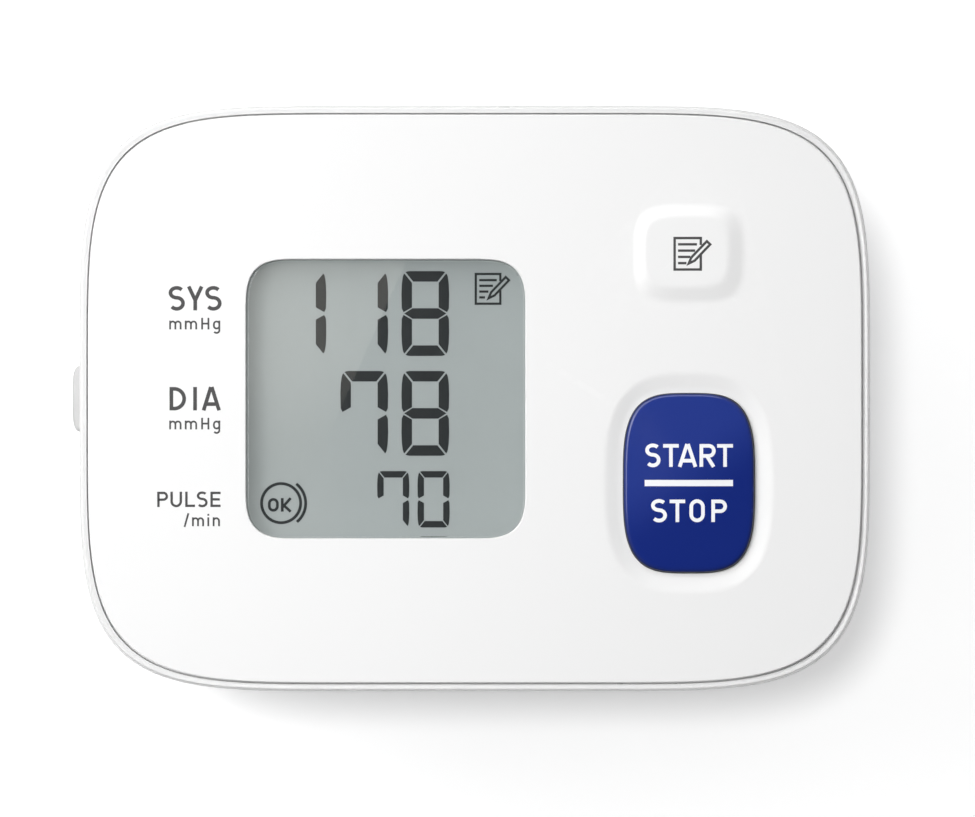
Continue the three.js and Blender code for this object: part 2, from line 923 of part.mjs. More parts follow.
// Screws

// A screw along Z: its head below, its shank up to the top height.
const screwBody = (x, y, headBottom, top) => {
  const headTop = headBottom + screw.headHeight;
  const slot = block(
    x,
    y,
    screw.headRadius + overrun,
    screw.slotWidth / 2,
    headBottom - overrun,
    headBottom + screw.slotDepth,
  );
  return uprightRod(screw.headRadius, x, y, headBottom, headTop, rodSides)
    .add(uprightRod(screw.shankRadius, x, y, headBottom, top, fineSides))
    .subtract(slot);
};

const caseScrewBody = ([x, y]) =>
  screwBody(x, y, screw.recessDepth - gap - screw.headHeight, boardTop + gap + screwGrip);

// Pump: a flat-sided motor can, a pump head and the eccentric shaft between them

const pumpZ = shell.floor + gap + pump.height / 2;
const motorEndY = pump.motorStartY + pump.motorLength;
const headStartY = motorEndY + gap;
const headEndY = headStartY + pump.headLength;

const pumpMotor = () => {
  const can = rod(
    pumpHalfWidth,
    [pumpX, pump.motorStartY, pumpZ],
    [pumpX, motorEndY, pumpZ],
  ).intersect(
    box(
      [pumpX - pumpHalfWidth, pump.motorStartY, pumpZ - pump.height / 2],
      [pumpX + pumpHalfWidth, motorEndY, pumpZ + pump.height / 2],
    ),
  );
  const tailBoss = rod(
    tailRadiusShare * pumpHalfWidth,
    [pumpX, pump.motorStartY - pump.tailLength, pumpZ],
    [pumpX, pump.motorStartY + pump.tailLength, pumpZ],
    fineSides,
  );
  const socket = rod(
    pump.shaftRadius + gap,
    [pumpX, motorEndY - pump.shaftSocketDepth, pumpZ],
    [pumpX, motorEndY + overrun, pumpZ],
    fineSides,
  );
  return can.add(tailBoss).subtract(socket);
};

const nozzlePlaceX = pumpX - nozzleOffsetShare * pumpHalfWidth;

const pumpHead = () => {
  const halfHeight = pump.height / 2;
  const body = box(
    [pumpX - pumpHalfWidth, headStartY, pumpZ - halfHeight],
    [pumpX + pumpHalfWidth, headEndY, pumpZ + halfHeight],
  );
  const chamber = rod(
    chamberRadiusShare * pumpHalfWidth,
    [pumpX, headStartY - overrun, pumpZ],
    [pumpX, headStartY + pump.chamberDepth, pumpZ],
  );
  const nozzle = rod(
    air.nozzleRadius,
    [nozzlePlaceX, headEndY - overrun, lineZ],
    [nozzlePlaceX, headEndY + air.nozzleLength, lineZ],
    fineSides,
  );
  return body.add(nozzle).subtract(chamber);
};

const pumpShaft = () => {
  const camStart = headStartY + gap;
  const camX = pumpX + camOffsetShare * pumpHalfWidth;
  const shaft = rod(
    pump.shaftRadius,
    [pumpX, motorEndY - pump.shaftSocketDepth + gap, pumpZ],
    [pumpX, camStart + pump.camThickness, pumpZ],
    fineSides,
  );
  const cam = rod(
    camRadiusShare * pumpHalfWidth,
    [camX, camStart, pumpZ],
    [camX, camStart + pump.camThickness, pumpZ],
  );
  return shaft.add(cam);
};

// Air line: manifold over the cuff's nipple, exhaust valve, pressure sensor and the tubes between them

const manifoldRightX = manifold.x + manifold.halfX;
const manifoldLeftX = manifold.x - manifold.halfX;
const pumpPortY = manifoldY - manifold.portSpread;
const sensorPortY = manifoldY + manifold.portSpread;
const manifoldBottom = shell.floor + gap;

const nozzleAlongX = (x, y, length) =>
  rod(air.nozzleRadius, [x, y, lineZ], [x + length, y, lineZ], fineSides);

const airManifold = () => {
  const { x, halfX, halfY, height, portDepth } = manifold;
  const body = block(x, manifoldY, halfX, halfY, manifoldBottom, manifoldBottom + height);
  const length = portDepth + air.nozzleLength;
  const nozzles = [
    nozzleAlongX(manifoldRightX - portDepth, pumpPortY, length),
    nozzleAlongX(manifoldRightX - portDepth, sensorPortY, length),
    nozzleAlongX(manifoldLeftX + portDepth, manifoldY, -length),
  ];
  const socket = uprightRod(
    nipple.socketRadius,
    x,
    manifoldY,
    manifoldBottom - overrun,
    manifoldBottom + nipple.socketDepth,
  );
  return joined([body, ...nozzles]).subtract(socket);
};

const valveRightX = manifoldLeftX - valve.distance;
const valveLeftX = valveRightX - valve.length;

const exhaustValve = () => {
  const { halfWidth, height, boreRadius, boreDepth } = valve;
  const body = box(
    [valveLeftX, manifoldY - halfWidth, manifoldBottom],
    [valveRightX, manifoldY + halfWidth, manifoldBottom + height],
  );
  const bore = rod(
    boreRadius,
    [valveLeftX - overrun, manifoldY, lineZ],
    [valveLeftX + boreDepth, manifoldY, lineZ],
    fineSides,
  );
  const nozzle = nozzleAlongX(valveRightX - overrun, manifoldY, overrun + air.nozzleLength / 2);
  return body.subtract(bore).add(nozzle);
};

const valvePlunger = () => {
  const inner = valveLeftX + valve.boreDepth - gap - valve.travel;
  return rod(
    valve.plungerRadius,
    [inner - valve.plungerLength, manifoldY, lineZ],
    [inner, manifoldY, lineZ],
    fineSides,
  );
};

const sensorBottom = boardBottom - gap - sensor.height;

const pressureSensor = () => {
  const { y, halfSide } = sensor;
  const nozzleEnd = sensorBottom - air.nozzleLength;
  return block(sensorX, y, halfSide, halfSide, sensorBottom, boardBottom - gap).add(
    uprightRod(air.nozzleRadius, sensorX, y, nozzleEnd, sensorBottom + overrun, fineSides),
  );
};

const pumpTube = () => {
  const bend = 2 * air.tubeRadius;
  const endX = manifoldRightX + gap;
  return tube(
    [
      [nozzlePlaceX, headEndY + gap, lineZ],
      [nozzlePlaceX, headEndY + bend, lineZ],
      [nozzlePlaceX - bend / 2, pumpPortY - bend / 2, lineZ],
      [nozzlePlaceX - 2 * bend, pumpPortY, lineZ],
      [endX + bend, pumpPortY, lineZ],
      [endX, pumpPortY, lineZ],
    ],
    air.tubeRadius,
    air.tubeBore,
    tubeSteps,
  );
};

const sensorTube = () => {
  const bend = 2 * air.tubeRadius;
  const startX = manifoldRightX + gap;
  return tube(
    [
      [startX, sensorPortY, lineZ],
      [startX + bend, sensorPortY, lineZ],
      [sensorX - 2 * bend, sensorPortY, lineZ],
      [sensorX - bend / 2, sensor.y, lineZ + air.tubeRadius / 2],
      [sensorX, sensor.y, lineZ + bend],
      [sensorX, sensor.y, sensorBottom - gap],
    ],
    air.tubeRadius,
    air.tubeBore,
    2 * tubeSteps,
  );
};

const valveTube = () =>
  tube(
    [
      [valveRightX + gap, manifoldY, lineZ],
      [manifoldLeftX - gap, manifoldY, lineZ],
    ],
    air.tubeRadius,
    air.tubeBore,
    1,
  );

// Cuff band. A station is a length along the inside of the loop, from the right end of its top run,
// leftwards over the top, down the left arch, along the bottom and up the right arch.

const topRun = 2 * wrist.archOffset;
const archLength = Math.PI * wrist.archRadius;
const bandStart = -cuff.rootLength;
const bandEnd = 2 * topRun + archLength + inwardArmShare * archLength;
const bladderLast = topRun + bladderReachShare * archLength;

// The point at a station, lifted by an offset square to the inside of the loop.
const loopPoint = (station, offset) => {
  const radius = wrist.archRadius + offset;
  const onLeft = station - topRun;
  const onBottom = onLeft - archLength;
  const onRight = onBottom - topRun;
  const arch = (centreX, side, turn) => {
    const angle = turn / wrist.archRadius;
    return new THREE.Vector2(centreX + side * radius * Math.sin(angle), archZ + radius * Math.cos(angle));
  };
  if (station <= 0) return arch(wrist.archOffset, 1, -station);
  if (onLeft <= 0) return new THREE.Vector2(wrist.archOffset - station, archZ + radius);
  if (onBottom <= 0) return arch(-wrist.archOffset, -1, onLeft);
  if (onRight <= 0) return new THREE.Vector2(onBottom - wrist.archOffset, archZ - radius);
  return arch(wrist.archOffset, 1, archLength - onRight);
};

// How much of the bladder's thickness lies under a station: all of it up to its fading end.
const bladderShare = (station) => {
  const share = (bladderLast - station) / cuff.bladderFade;
  const held = Math.min(Math.max(share, 0), 1);
  return held * held * (3 - 2 * held);
};

const lift = (station) => (cuff.bladder + gap) * bladderShare(station);

// Stations from one to another: close together on the arches and the fade, only the ends on the straights.
const stationsBetween = (from, to) => {
  const marks = [];
  const add = (start, end, steps) => {
    for (let step = 0; step <= steps; step += 1) marks.push(start + ((end - start) * step) / steps);
  };
  const rootSteps = Math.ceil((archSteps * cuff.rootLength) / archLength);
  add(bandStart, 0, rootSteps);
  add(topRun, topRun + archLength, archSteps);
  add(bladderLast - cuff.bladderFade, bladderLast, fadeSteps);
  add(2 * topRun + archLength, 2 * topRun + 2 * archLength, archSteps);
  const least = archLength / archSteps / fadeSteps;
  const inside = marks.filter((mark) => mark > from + least && mark < to - least);
  const ordered = [from, ...inside.sort((a, b) => a - b), to];
  return ordered.filter((mark, i) => i === 0 || mark - ordered[i - 1] > least);
};

const bandProfile = (from, to, inner, outer) => {
  const stations = stationsBetween(from, to);
  const inside = stations.map((station) => loopPoint(station, inner(station)));
  const outside = stations.map((station) => loopPoint(station, outer(station)));
  return [...inside, ...outside.reverse()];
};

const linerTop = cuff.lining + gap;
const plateInner = (station) => linerTop + lift(station);
const plateOuter = (station) => plateInner(station) + cuff.plate;
const coverInner = (station) => plateOuter(station) + gap;
const coverOuter = (station) => coverInner(station) + cuff.cover;

// Height of a cuff layer's place on the flat top run.
const topZ = (offset) => archZ + wrist.archRadius + offset;

const cuffLining = () => slab(bandProfile(bandStart, bandEnd, () => 0, () => cuff.lining), cuff.halfWidth);

const cuffHoles = (bottom, top) => [
  ...cuffScrewPlaces.map(([x, y]) => uprightRod(screw.holeRadius, x, y, bottom, top, fineSides)),
  uprightRod(nipple.holeRadius, manifold.x, manifoldY, bottom, top),
];

const curlPlate = () => {
  const from = bandStart + cuff.plateMargin;
  const to = bandEnd - cuff.plateMargin;
  const holes = cuffHoles(topZ(cuff.lining), topZ(fullStack));
  return cutBy(slab(bandProfile(from, to, plateInner, plateOuter), plateHalfWidth), holes);
};

const cuffCover = () => {
  const holes = cuffHoles(topZ(cuff.lining), topZ(fullStack) + overrun);
  return cutBy(slab(bandProfile(bandStart, bandEnd, coverInner, coverOuter), cuff.halfWidth), holes);
};

const nippleFlangeTop = topZ(linerTop + cuff.bladder);
const nippleFlangeBottom = nippleFlangeTop - nipple.flangeHeight;

const airBladder = () => {
  const stopShare = (cuff.bladderEnd + gap) / (cuff.bladder + gap);
  const last = bladderLast - cuff.bladderFade * stopShare;
  const outer = (station) => plateInner(station) - gap;
  const profile = bandProfile(bandStart + cuff.plateMargin, last, () => linerTop, outer);
  const pocket = uprightRod(
    nipple.flangeRadius + gap,
    manifold.x,
    manifoldY,
    nippleFlangeBottom - gap,
    nippleFlangeTop + overrun,
  );
  return slab(profile, bladderHalfWidth).subtract(pocket);
};

const nippleTop = unitZ + manifoldBottom + nipple.socketDepth - gap;

const airNipple = () => {
  const { x } = manifold;
  const flange = uprightRod(nipple.flangeRadius, x, manifoldY, nippleFlangeBottom, nippleFlangeTop);
  const stem = uprightRod(nipple.radius, x, manifoldY, nippleFlangeBottom, nippleTop, fineSides);
  return flange.add(stem).subtract(
    uprightRod(nipple.bore, x, manifoldY, nippleFlangeBottom - overrun, nippleTop + overrun, fineSides),
  );
};

const nippleSeal = () => {
  const middle = (nipple.radius + nipple.socketRadius) / 2;
  const geometry = new THREE.TorusGeometry(middle, nipple.sealRadius, wireSides, rodSides);
  return solid(geometry.translate(manifold.x, manifoldY, manifoldBottom + nipple.socketDepth / 2));
};

// The edge tape: a strip along both sides of the band and across both of its ends, in one piece.
const cuffBinding = () => {
  const from = bandStart - gap - cuff.bindingWidth;
  const to = bandEnd + gap + cuff.bindingWidth;
  const inner = () => cuff.bindingInset;
  const outer = (station) => coverOuter(station) - cuff.bindingInset;
  const outerHalf = cuff.halfWidth + gap + cuff.bindingWidth;
  const whole = slab(bandProfile(from, to, inner, outer), outerHalf);
  const filling = slab(
    bandProfile(bandStart - gap, bandEnd + gap, () => -overrun, (station) => coverOuter(station) + overrun),
    cuff.halfWidth + gap,
  );
  return whole.subtract(filling);
};

const cuffScrewBody = ([x, y]) => {
  const headTop = topZ(linerTop + cuff.bladder);
  return screwBody(
    x,
    y,
    headTop - screw.headHeight,
    unitZ + cuffBossTop - screwEndCover - gap,
  );
};

// Tail: the outer end of the band, which closes over the right arch and hinges at its root

const tailInner = thinStack + gap + tail.patch + gap;
const tailMiddle = tailInner + tail.thickness / 2;
const rootTurn = (cuff.rootLength + gap + cuff.bindingWidth) / wrist.archRadius;
const hingeTurn = rootTurn + (tail.thickness / 2 + gap) / (wrist.archRadius + tailMiddle);

// A point on the right arch at a turn from straight up, lifted by an offset.
const archPoint = (turn, offset) => {
  const radius = wrist.archRadius + offset;
  return new THREE.Vector2(wrist.archOffset + radius * Math.sin(turn), archZ + radius * Math.cos(turn));
};

const archProfile = (fromTurn, toTurn, inner, outer) => {
  const inside = [];
  const outside = [];
  for (let step = 0; step <= archSteps; step += 1) {
    const turn = fromTurn + ((toTurn - fromTurn) * step) / archSteps;
    inside.push(archPoint(turn, inner));
    outside.push(archPoint(turn, outer));
  }
  return [...inside, ...outside.reverse()];
};

const cuffTail = () => {
  const tipTurn = tailReachShare * Math.PI;
  const strip = slab(
    archProfile(hingeTurn, tipTurn, tailInner, tailInner + tail.thickness),
    tailHalfWidth,
  );
  const ends = [hingeTurn, tipTurn].map((turn) => {
    const middle = archPoint(turn, tailMiddle);
    const from = [middle.x, -tailHalfWidth, middle.y];
    return rod(tail.thickness / 2, from, [middle.x, tailHalfWidth, middle.y], fineSides);
  });
  return joined([strip, ...ends]);
};

const hookPatch = () => {
  const [from, to] = patchShares.map((share) => share * Math.PI);
  const inner = thinStack + gap;
  return slab(archProfile(from, to, inner, inner + tail.patch), patchHalfWidth);
};

// Assembly

const shellGroup = new THREE.Group();
shellGroup.add(
  piece("rear_case", rearCase(), whitePlastic),
  piece("front_cover", frontCover(), whitePlastic),
  piece("battery_cover", batteryCover(), greyPlastic),
  piece("display_window", displayWindow(), clearPlastic),
  piece("start_button", startButton(), bluePlastic),
  piece("memory_button", memoryButton(), whitePlastic),
);
screwPlaces.forEach((place, i) => shellGroup.add(piece(`case_screw_${i + 1}`, caseScrewBody(place), steel)));

const electronicsGroup = new THREE.Group();
electronicsGroup.add(
  piece("lcd_glass", lcdGlass(), displayGlass),
  piece("lcd_holder", lcdHolder(), darkPlastic),
  piece("zebra_strip_top", contactStrip(1), conductiveRubber),
  piece("zebra_strip_bottom", contactStrip(-1), conductiveRubber),
  piece("circuit_board", circuitBoard(), boardLaminate),
  piece("main_chip", mainChip(), darkPlastic),
  piece("start_switch", switchBody(startKey), darkPlastic),
  piece("start_switch_stem", switchStem(startKey), greyPlastic),
  piece("memory_switch", switchBody(memoryKey), darkPlastic),
  piece("memory_switch_stem", switchStem(memoryKey), greyPlastic),
  piece("pressure_sensor", pressureSensor(), greyPlastic),
);

const powerGroup = new THREE.Group();
powerGroup.add(
  piece("battery_1", battery(-1, "right"), cellJacket),
  piece("battery_2", battery(1, "left"), cellJacket),
  piece("battery_tray", batteryTray(), greyPlastic),
  piece("battery_spring", batterySpring(), springSteel),
  piece("spring_plate", springPlate(), springSteel),
  piece("battery_contact", batteryContact(), springSteel),
  piece("battery_link_plate", linkPlate(), springSteel),
);

const airGroup = new THREE.Group();
airGroup.add(
  piece("pump_motor", pumpMotor(), steel),
  piece("pump_head", pumpHead(), greyPlastic),
  piece("pump_shaft", pumpShaft(), brass),
  piece("air_manifold", airManifold(), greyPlastic),
  piece("exhaust_valve", exhaustValve(), darkPlastic),
  piece("valve_plunger", valvePlunger(), steel),
  piece("pump_tube", pumpTube(), silicone),
  piece("sensor_tube", sensorTube(), silicone),
  piece("valve_tube", valveTube(), silicone),
  piece("nipple_seal", nippleSeal(), conductiveRubber),
);

const displayUnit = new THREE.Group();
displayUnit.add(shellGroup, electronicsGroup, powerGroup, airGroup);
displayUnit.position.z = unitZ;

const cuffGroup = new THREE.Group();
cuffGroup.add(
  piece("cuff_cover", cuffCover(), greyCloth),
  piece("cuff_curl_plate", curlPlate(), curlPlastic),
  piece("air_bladder", airBladder(), vinyl),
  piece("cuff_lining", cuffLining(), greyCloth),
  piece("cuff_binding", cuffBinding(), darkCloth),
  piece("cuff_tail", cuffTail(), greyCloth),
  piece("hook_patch", hookPatch(), darkCloth),
  piece("air_nipple", airNipple(), vinyl),
);
cuffScrewPlaces.forEach((place, i) =>
  cuffGroup.add(piece(`cuff_screw_${i + 1}`, cuffScrewBody(place), steel)),
);

const monitor = new THREE.Group();
monitor.add(displayUnit, cuffGroup);

export default monitor;
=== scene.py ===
# %% [markdown]
# # A wrist blood pressure monitor
# The monitor is a white display unit, 84 by 62 mm, that stands on a closed, curled cuff. We dress the packed
# model: its rigid inner parts stay as they are and only get materials, while the moulded shells, the keys and
# the cloth are made again as fine surfaces, worked out with numpy from the same formulas as the solids.
# We first load the imported model. The finished looks must stay inside it.

# %% Load the imported model
import itertools
import json
import math

import bpy
import numpy as np
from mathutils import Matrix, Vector

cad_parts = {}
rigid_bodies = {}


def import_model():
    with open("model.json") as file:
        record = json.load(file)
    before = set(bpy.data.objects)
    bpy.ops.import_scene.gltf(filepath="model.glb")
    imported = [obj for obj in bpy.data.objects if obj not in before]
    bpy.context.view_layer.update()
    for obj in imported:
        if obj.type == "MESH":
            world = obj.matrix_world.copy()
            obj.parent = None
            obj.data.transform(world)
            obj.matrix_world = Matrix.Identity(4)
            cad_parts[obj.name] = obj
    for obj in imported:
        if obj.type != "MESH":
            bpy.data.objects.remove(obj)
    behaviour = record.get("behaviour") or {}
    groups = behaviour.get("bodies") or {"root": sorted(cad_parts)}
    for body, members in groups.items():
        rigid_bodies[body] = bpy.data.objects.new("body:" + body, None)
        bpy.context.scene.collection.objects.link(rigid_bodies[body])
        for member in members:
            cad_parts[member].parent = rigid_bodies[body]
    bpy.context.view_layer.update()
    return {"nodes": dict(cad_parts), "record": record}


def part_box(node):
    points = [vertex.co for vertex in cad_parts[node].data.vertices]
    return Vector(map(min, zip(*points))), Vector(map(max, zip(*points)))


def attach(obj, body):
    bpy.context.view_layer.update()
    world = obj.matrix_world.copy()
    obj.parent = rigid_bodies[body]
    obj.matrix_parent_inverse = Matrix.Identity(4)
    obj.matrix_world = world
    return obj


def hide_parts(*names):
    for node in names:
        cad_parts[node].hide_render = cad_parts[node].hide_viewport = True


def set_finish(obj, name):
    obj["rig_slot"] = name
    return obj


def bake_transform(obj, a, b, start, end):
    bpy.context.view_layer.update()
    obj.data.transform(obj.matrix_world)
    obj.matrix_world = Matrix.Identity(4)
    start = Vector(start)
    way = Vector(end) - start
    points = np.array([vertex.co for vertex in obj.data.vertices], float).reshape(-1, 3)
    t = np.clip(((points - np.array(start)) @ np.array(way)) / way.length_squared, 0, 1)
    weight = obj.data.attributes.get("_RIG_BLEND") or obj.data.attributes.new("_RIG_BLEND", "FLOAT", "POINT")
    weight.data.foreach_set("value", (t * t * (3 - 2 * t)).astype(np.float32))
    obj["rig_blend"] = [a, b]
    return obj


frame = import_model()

# %% [markdown]
# ## Sizes
# All shapes here are worked out in millimetres, and heights of the unit are measured from its back.
# `to_frame` brings them into the frame, which is in metres and stands the cuff on z = 0.

# %% Sizes of the unit
MM = 0.001
BACK_Z = round(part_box("rear_case")[0][2] / MM, 2)

UNIT = dict(half_x=42, half_y=31.1, straight_x=10.8, straight_y=0.92, power=4.6)
FACE = 21.0
BRIM = 19.2
LEDGE = 17.5
FLOOR = 1.6
WALL = 1.6
BACK_INSET = 9.5
FLANK_POWER = 2.6
LINE_INSET = 0.88
LINE_HALF = 0.095

AROUND = 320


def to_frame(points):
    """Unit millimetres to frame metres: the unit's back lies BACK_Z above the table."""
    return (np.asarray(points, float) + (0, 0, BACK_Z)) * MM


print("the unit's back lies", BACK_Z, "mm above the table, its face", BACK_Z + FACE)

# %% [markdown]
# ## Outlines
# The unit, its screen and its keys are all rounded rectangles with superellipse corners: in each quarter
# x = straight + (half - straight) * cos(t) ** (2 / power), and y the same with the sine. Evenly spaced t
# would crowd the points in the corners, so each quarter is walked finely and then sampled at even steps of
# its length.

# %% Outline and loft helpers
def outline(sizes, grow=0.0, count=AROUND):
    """Closed superellipse outline, anticlockwise from +X, with `count` points at even steps of its length."""
    half_x, half_y = sizes["half_x"] + grow, sizes["half_y"] + grow
    straight_x, straight_y = sizes.get("straight_x", 0), sizes.get("straight_y", 0)
    share = np.linspace(0, 1, 800)
    turn = np.pi / 2 * share**3 / (share**3 + (1 - share) ** 3)
    x = straight_x + (half_x - straight_x) * np.cos(turn).clip(0) ** (2 / sizes["power"])
    y = straight_y + (half_y - straight_y) * np.sin(turn).clip(0) ** (2 / sizes["power"])
    path = np.vstack([(half_x, 0), np.column_stack([x, y]), (0, half_y)])
    length = np.concatenate([[0], np.cumsum(np.hypot(*np.diff(path, axis=0).T))])
    even = np.linspace(0, length[-1], count // 4 + 1)
    quarter = np.column_stack([np.interp(even, length, path[:, axis]) for axis in (0, 1)])
    back = quarter[::-1]
    quarters = [quarter[:-1], back[:-1] * (-1, 1), quarter[:-1] * (-1, -1), back[:-1] * (1, -1)]
    return np.vstack(quarters) + sizes.get("centre", (0, 0))


def ring(sizes, grow, height, count=AROUND):
    """One outline, grown by a margin, at one height."""
    flat = outline(sizes, grow, count)
    return np.column_stack([flat, np.full(len(flat), height)])


def rings(sizes, profile, count=AROUND):
    """A profile of (growth, height) pairs carried round an outline: one ring for each pair."""
    return np.array([ring(sizes, grow, height, count) for grow, height in profile])


def loft(rows, closed=False):
    """Points and faces of a skin through rings of equal count. Each quad runs along its ring, then on to the
    next ring. The first and last rings are closed with one flat face each, so the skin encloses a solid, or
    the last ring is joined to the first."""
    rows = np.asarray(rows, float)
    index = np.arange(rows.shape[0] * rows.shape[1]).reshape(rows.shape[:2])
    here, there = (index, np.roll(index, -1, axis=0)) if closed else (index[:-1], index[1:])
    quads = np.stack([here, np.roll(here, -1, axis=1), np.roll(there, -1, axis=1), there], axis=-1)
    caps = [] if closed else [index[0][::-1].tolist(), index[-1].tolist()]
    return rows.reshape(-1, 3), quads.reshape(-1, 4).tolist() + caps


def arc(centre, radius, start, end, steps):
    """Points on an ellipse: centre + radius * (cos, sin) of angles from start to end, in degrees."""
    turn = np.radians(np.linspace(start, end, steps + 1))
    return np.column_stack([
        centre[0] + radius[0] * np.cos(turn),
        centre[1] + radius[1] * np.sin(turn),
    ])


print("outline of the unit:", outline(UNIT).shape[0], "points")

# %% [markdown]
# ## Making pieces
# A piece is a mesh object whose place is in its mesh. `moulding` carries a profile round an outline, and
# `joined` puts many small skins in one piece. `carve` joins or cuts with boolean modifiers and keeps the
# result as a plain mesh. `finish_surface` shades it smooth, keeps its real edges sharp and lets the large
# flat faces rule the normals, so that a flat panel stays flat right up to a hole in it.

# %% Mesh helpers
scene = bpy.context.scene


def make_mesh(name, points, faces, frame_points=False):
    """A new object from points and faces. Points are unit millimetres unless frame_points is set."""
    mesh = bpy.data.meshes.new(name)
    vertices = np.asarray(points, float) if frame_points else to_frame(points)
    mesh.from_pydata(vertices.tolist(), [], faces)
    mesh.validate()
    piece = bpy.data.objects.new(name, mesh)
    scene.collection.objects.link(piece)
    return piece


def joined(name, parts):
    """One object from several skins, each given as (points, faces)."""
    points, faces, start = [], [], 0
    for part_points, part_faces in parts:
        points.append(part_points)
        faces += [[start + index for index in face] for face in part_faces]
        start += len(part_points)
    return make_mesh(name, np.vstack(points), faces)


def moulding(name, sizes, profile, count=AROUND):
    """A solid from a profile of (growth, height) pairs carried round an outline."""
    return make_mesh(name, *loft(rings(sizes, profile, count)))


def box_tool(low, high):
    """A box between two corners, as six quads pointing out."""
    corners = list(itertools.product(*zip(low, high)))
    faces = [[0, 1, 3, 2], [4, 6, 7, 5], [0, 4, 5, 1], [2, 3, 7, 6], [0, 2, 6, 4], [1, 5, 7, 3]]
    return make_mesh("box_tool", corners, faces)


def rod_tool(x, y, radius, bottom, top, sides=48):
    """An upright round rod."""
    circle = dict(half_x=radius, half_y=radius, power=2, centre=(x, y))
    return moulding("rod_tool", circle, [(0, bottom), (0, top)], sides)


def carve(piece, tools, operation="DIFFERENCE"):
    """Cuts the tools out of a piece, or joins or keeps what they share, and leaves a plain mesh."""
    for tool in tools:
        step = piece.modifiers.new("carve", "BOOLEAN")
        step.operation, step.solver, step.object = operation, "MANIFOLD", tool
    made = bpy.data.meshes.new_from_object(piece.evaluated_get(bpy.context.evaluated_depsgraph_get()))
    piece.modifiers.clear()
    bare, piece.data = piece.data, made
    made.name = piece.name
    bpy.data.meshes.remove(bare)
    for tool in tools:
        bpy.data.objects.remove(tool)


def finish_surface(piece, sharp_over=32):
    """Smooth shading, sharp where two faces meet at more than `sharp_over` degrees, large faces ruling."""
    mesh = piece.data
    mesh.polygons.foreach_set("use_smooth", np.ones(len(mesh.polygons), bool))
    mesh.set_sharp_from_angle(angle=math.radians(sharp_over))
    weighted = piece.modifiers.new("flat_faces_rule", "WEIGHTED_NORMAL")
    weighted.mode, weighted.keep_sharp = "FACE_AREA", True


def seat(piece, body, slot, *nodes):
    """Puts a piece on its body, names its finish and lets it stand for the nodes it replaces."""
    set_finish(piece, slot)
    if nodes:
        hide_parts(*nodes)
    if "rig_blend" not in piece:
        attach(piece, body)
    mesh = piece.data
    mesh.calc_loop_triangles()
    print(f"{piece.name}: {len(mesh.vertices)} vertices, {len(mesh.loop_triangles)} triangles")


# %% [markdown]
# ## Rear case
# The case is one moulding: a tub whose flanks curve round to a smaller back, and a soft rim that stands
# round the front panel. Outside, flanks and rim are one profile carried round the outline. The flank follows
# a superellipse, inset = 9.5 * (1 - cos(a) ** (2 / 2.6)) while the height falls by sin(a) ** (2 / 2.6). The
# rim starts with a fine line at the widest place, goes over a shoulder that is a quarter ellipse, and slopes
# gently down to the parting line, so it is brighter on the sides that look towards the lamps. The cavity,
# the battery opening, the screw recesses and the hole for the air nipple are cut, and the screw bosses
# joined, as booleans.

# %% Rear case
def flank_profile(steps, bottom=0.0):
    """(growth, height) from the back up to the brim along the superellipse flank."""
    start = math.asin(min(((BRIM - bottom) / BRIM) ** (FLANK_POWER / 2), 1))
    turn = np.linspace(start, 0, steps + 1)
    inset = BACK_INSET * (1 - np.cos(turn).clip(0) ** (2 / FLANK_POWER))
    height = BRIM * (1 - np.sin(turn) ** (2 / FLANK_POWER))
    return list(zip(-inset, height))


groove_outer = LINE_INSET - LINE_HALF
groove_inner = LINE_INSET + LINE_HALF
GROOVE_FLOOR = 17.95
LIP_ROUND = (0.22, 1.05)
LIP_SLOPE = 20
LIP_TOP = 20.5


def lip_profile():
    """(growth, height) of the rim: a fine line at the widest place, a quarter ellipse over the shoulder
    until it falls inwards by LIP_SLOPE degrees, then a straight slope that rounds off into the parting
    line."""
    outer_line = [(0, BRIM + 0.12), (-0.02, BRIM + 0.14), (-0.03, BRIM), (-0.1, BRIM), (-0.11, BRIM + 0.18)]
    wide, tall = LIP_ROUND
    over = math.degrees(math.atan(math.tan(math.radians(LIP_SLOPE)) * wide / tall))
    shoulder = arc((-0.11 - wide, LIP_TOP - tall), LIP_ROUND, 0, 90 + over, 16)
    share = np.linspace(0, 1, 7)[1:]
    inside = shoulder[-1][0] + (-groove_outer - shoulder[-1][0]) * share
    fall = shoulder[-1][1] - (inside[0] - inside) * math.tan(math.radians(LIP_SLOPE)) - 0.02 * share**8
    edge = [(-groove_outer, GROOVE_FLOOR), (-groove_inner + 0.02, GROOVE_FLOOR)]
    return outer_line + [tuple(p) for p in shoulder] + list(zip(inside, fall)) + edge


rim_profile = lip_profile()


def case_solid(name):
    """The whole outer form of the case, filled."""
    profile = flank_profile(40) + rim_profile + [(-groove_inner + 0.02, LEDGE - 0.2)]
    return moulding(name, UNIT, profile)


def cavity_tool():
    """The hollow of the case: the flank moved in by the wall, with the wide step over the ledge."""
    lower = [(grow - WALL, height) for grow, height in flank_profile(14, FLOOR) if height < LEDGE - 1]
    wide = 0.03 - groove_inner
    profile = lower + [(-WALL, LEDGE), (wide, LEDGE), (wide, FACE + 1)]
    return moulding("cavity_tool", UNIT, profile)


HATCH = dict(inner_x=-35.5, half_y=13.6, bottom=1.6, top=13.2, gap=0.3)
CASE_SCREWS = [(34.5, 12), (34.5, -12), (-32, 15.8), (-32, -15.8)]
CUFF_SCREWS = [(11, 23), (11, -23), (-11, 23), (-11, -23)]
NIPPLE = (4, 16.3)
CASE_BOSS, CUFF_BOSS = 3.2, 2.6
SCREW_BORE, HEAD_BORE = 1.3, 2.3

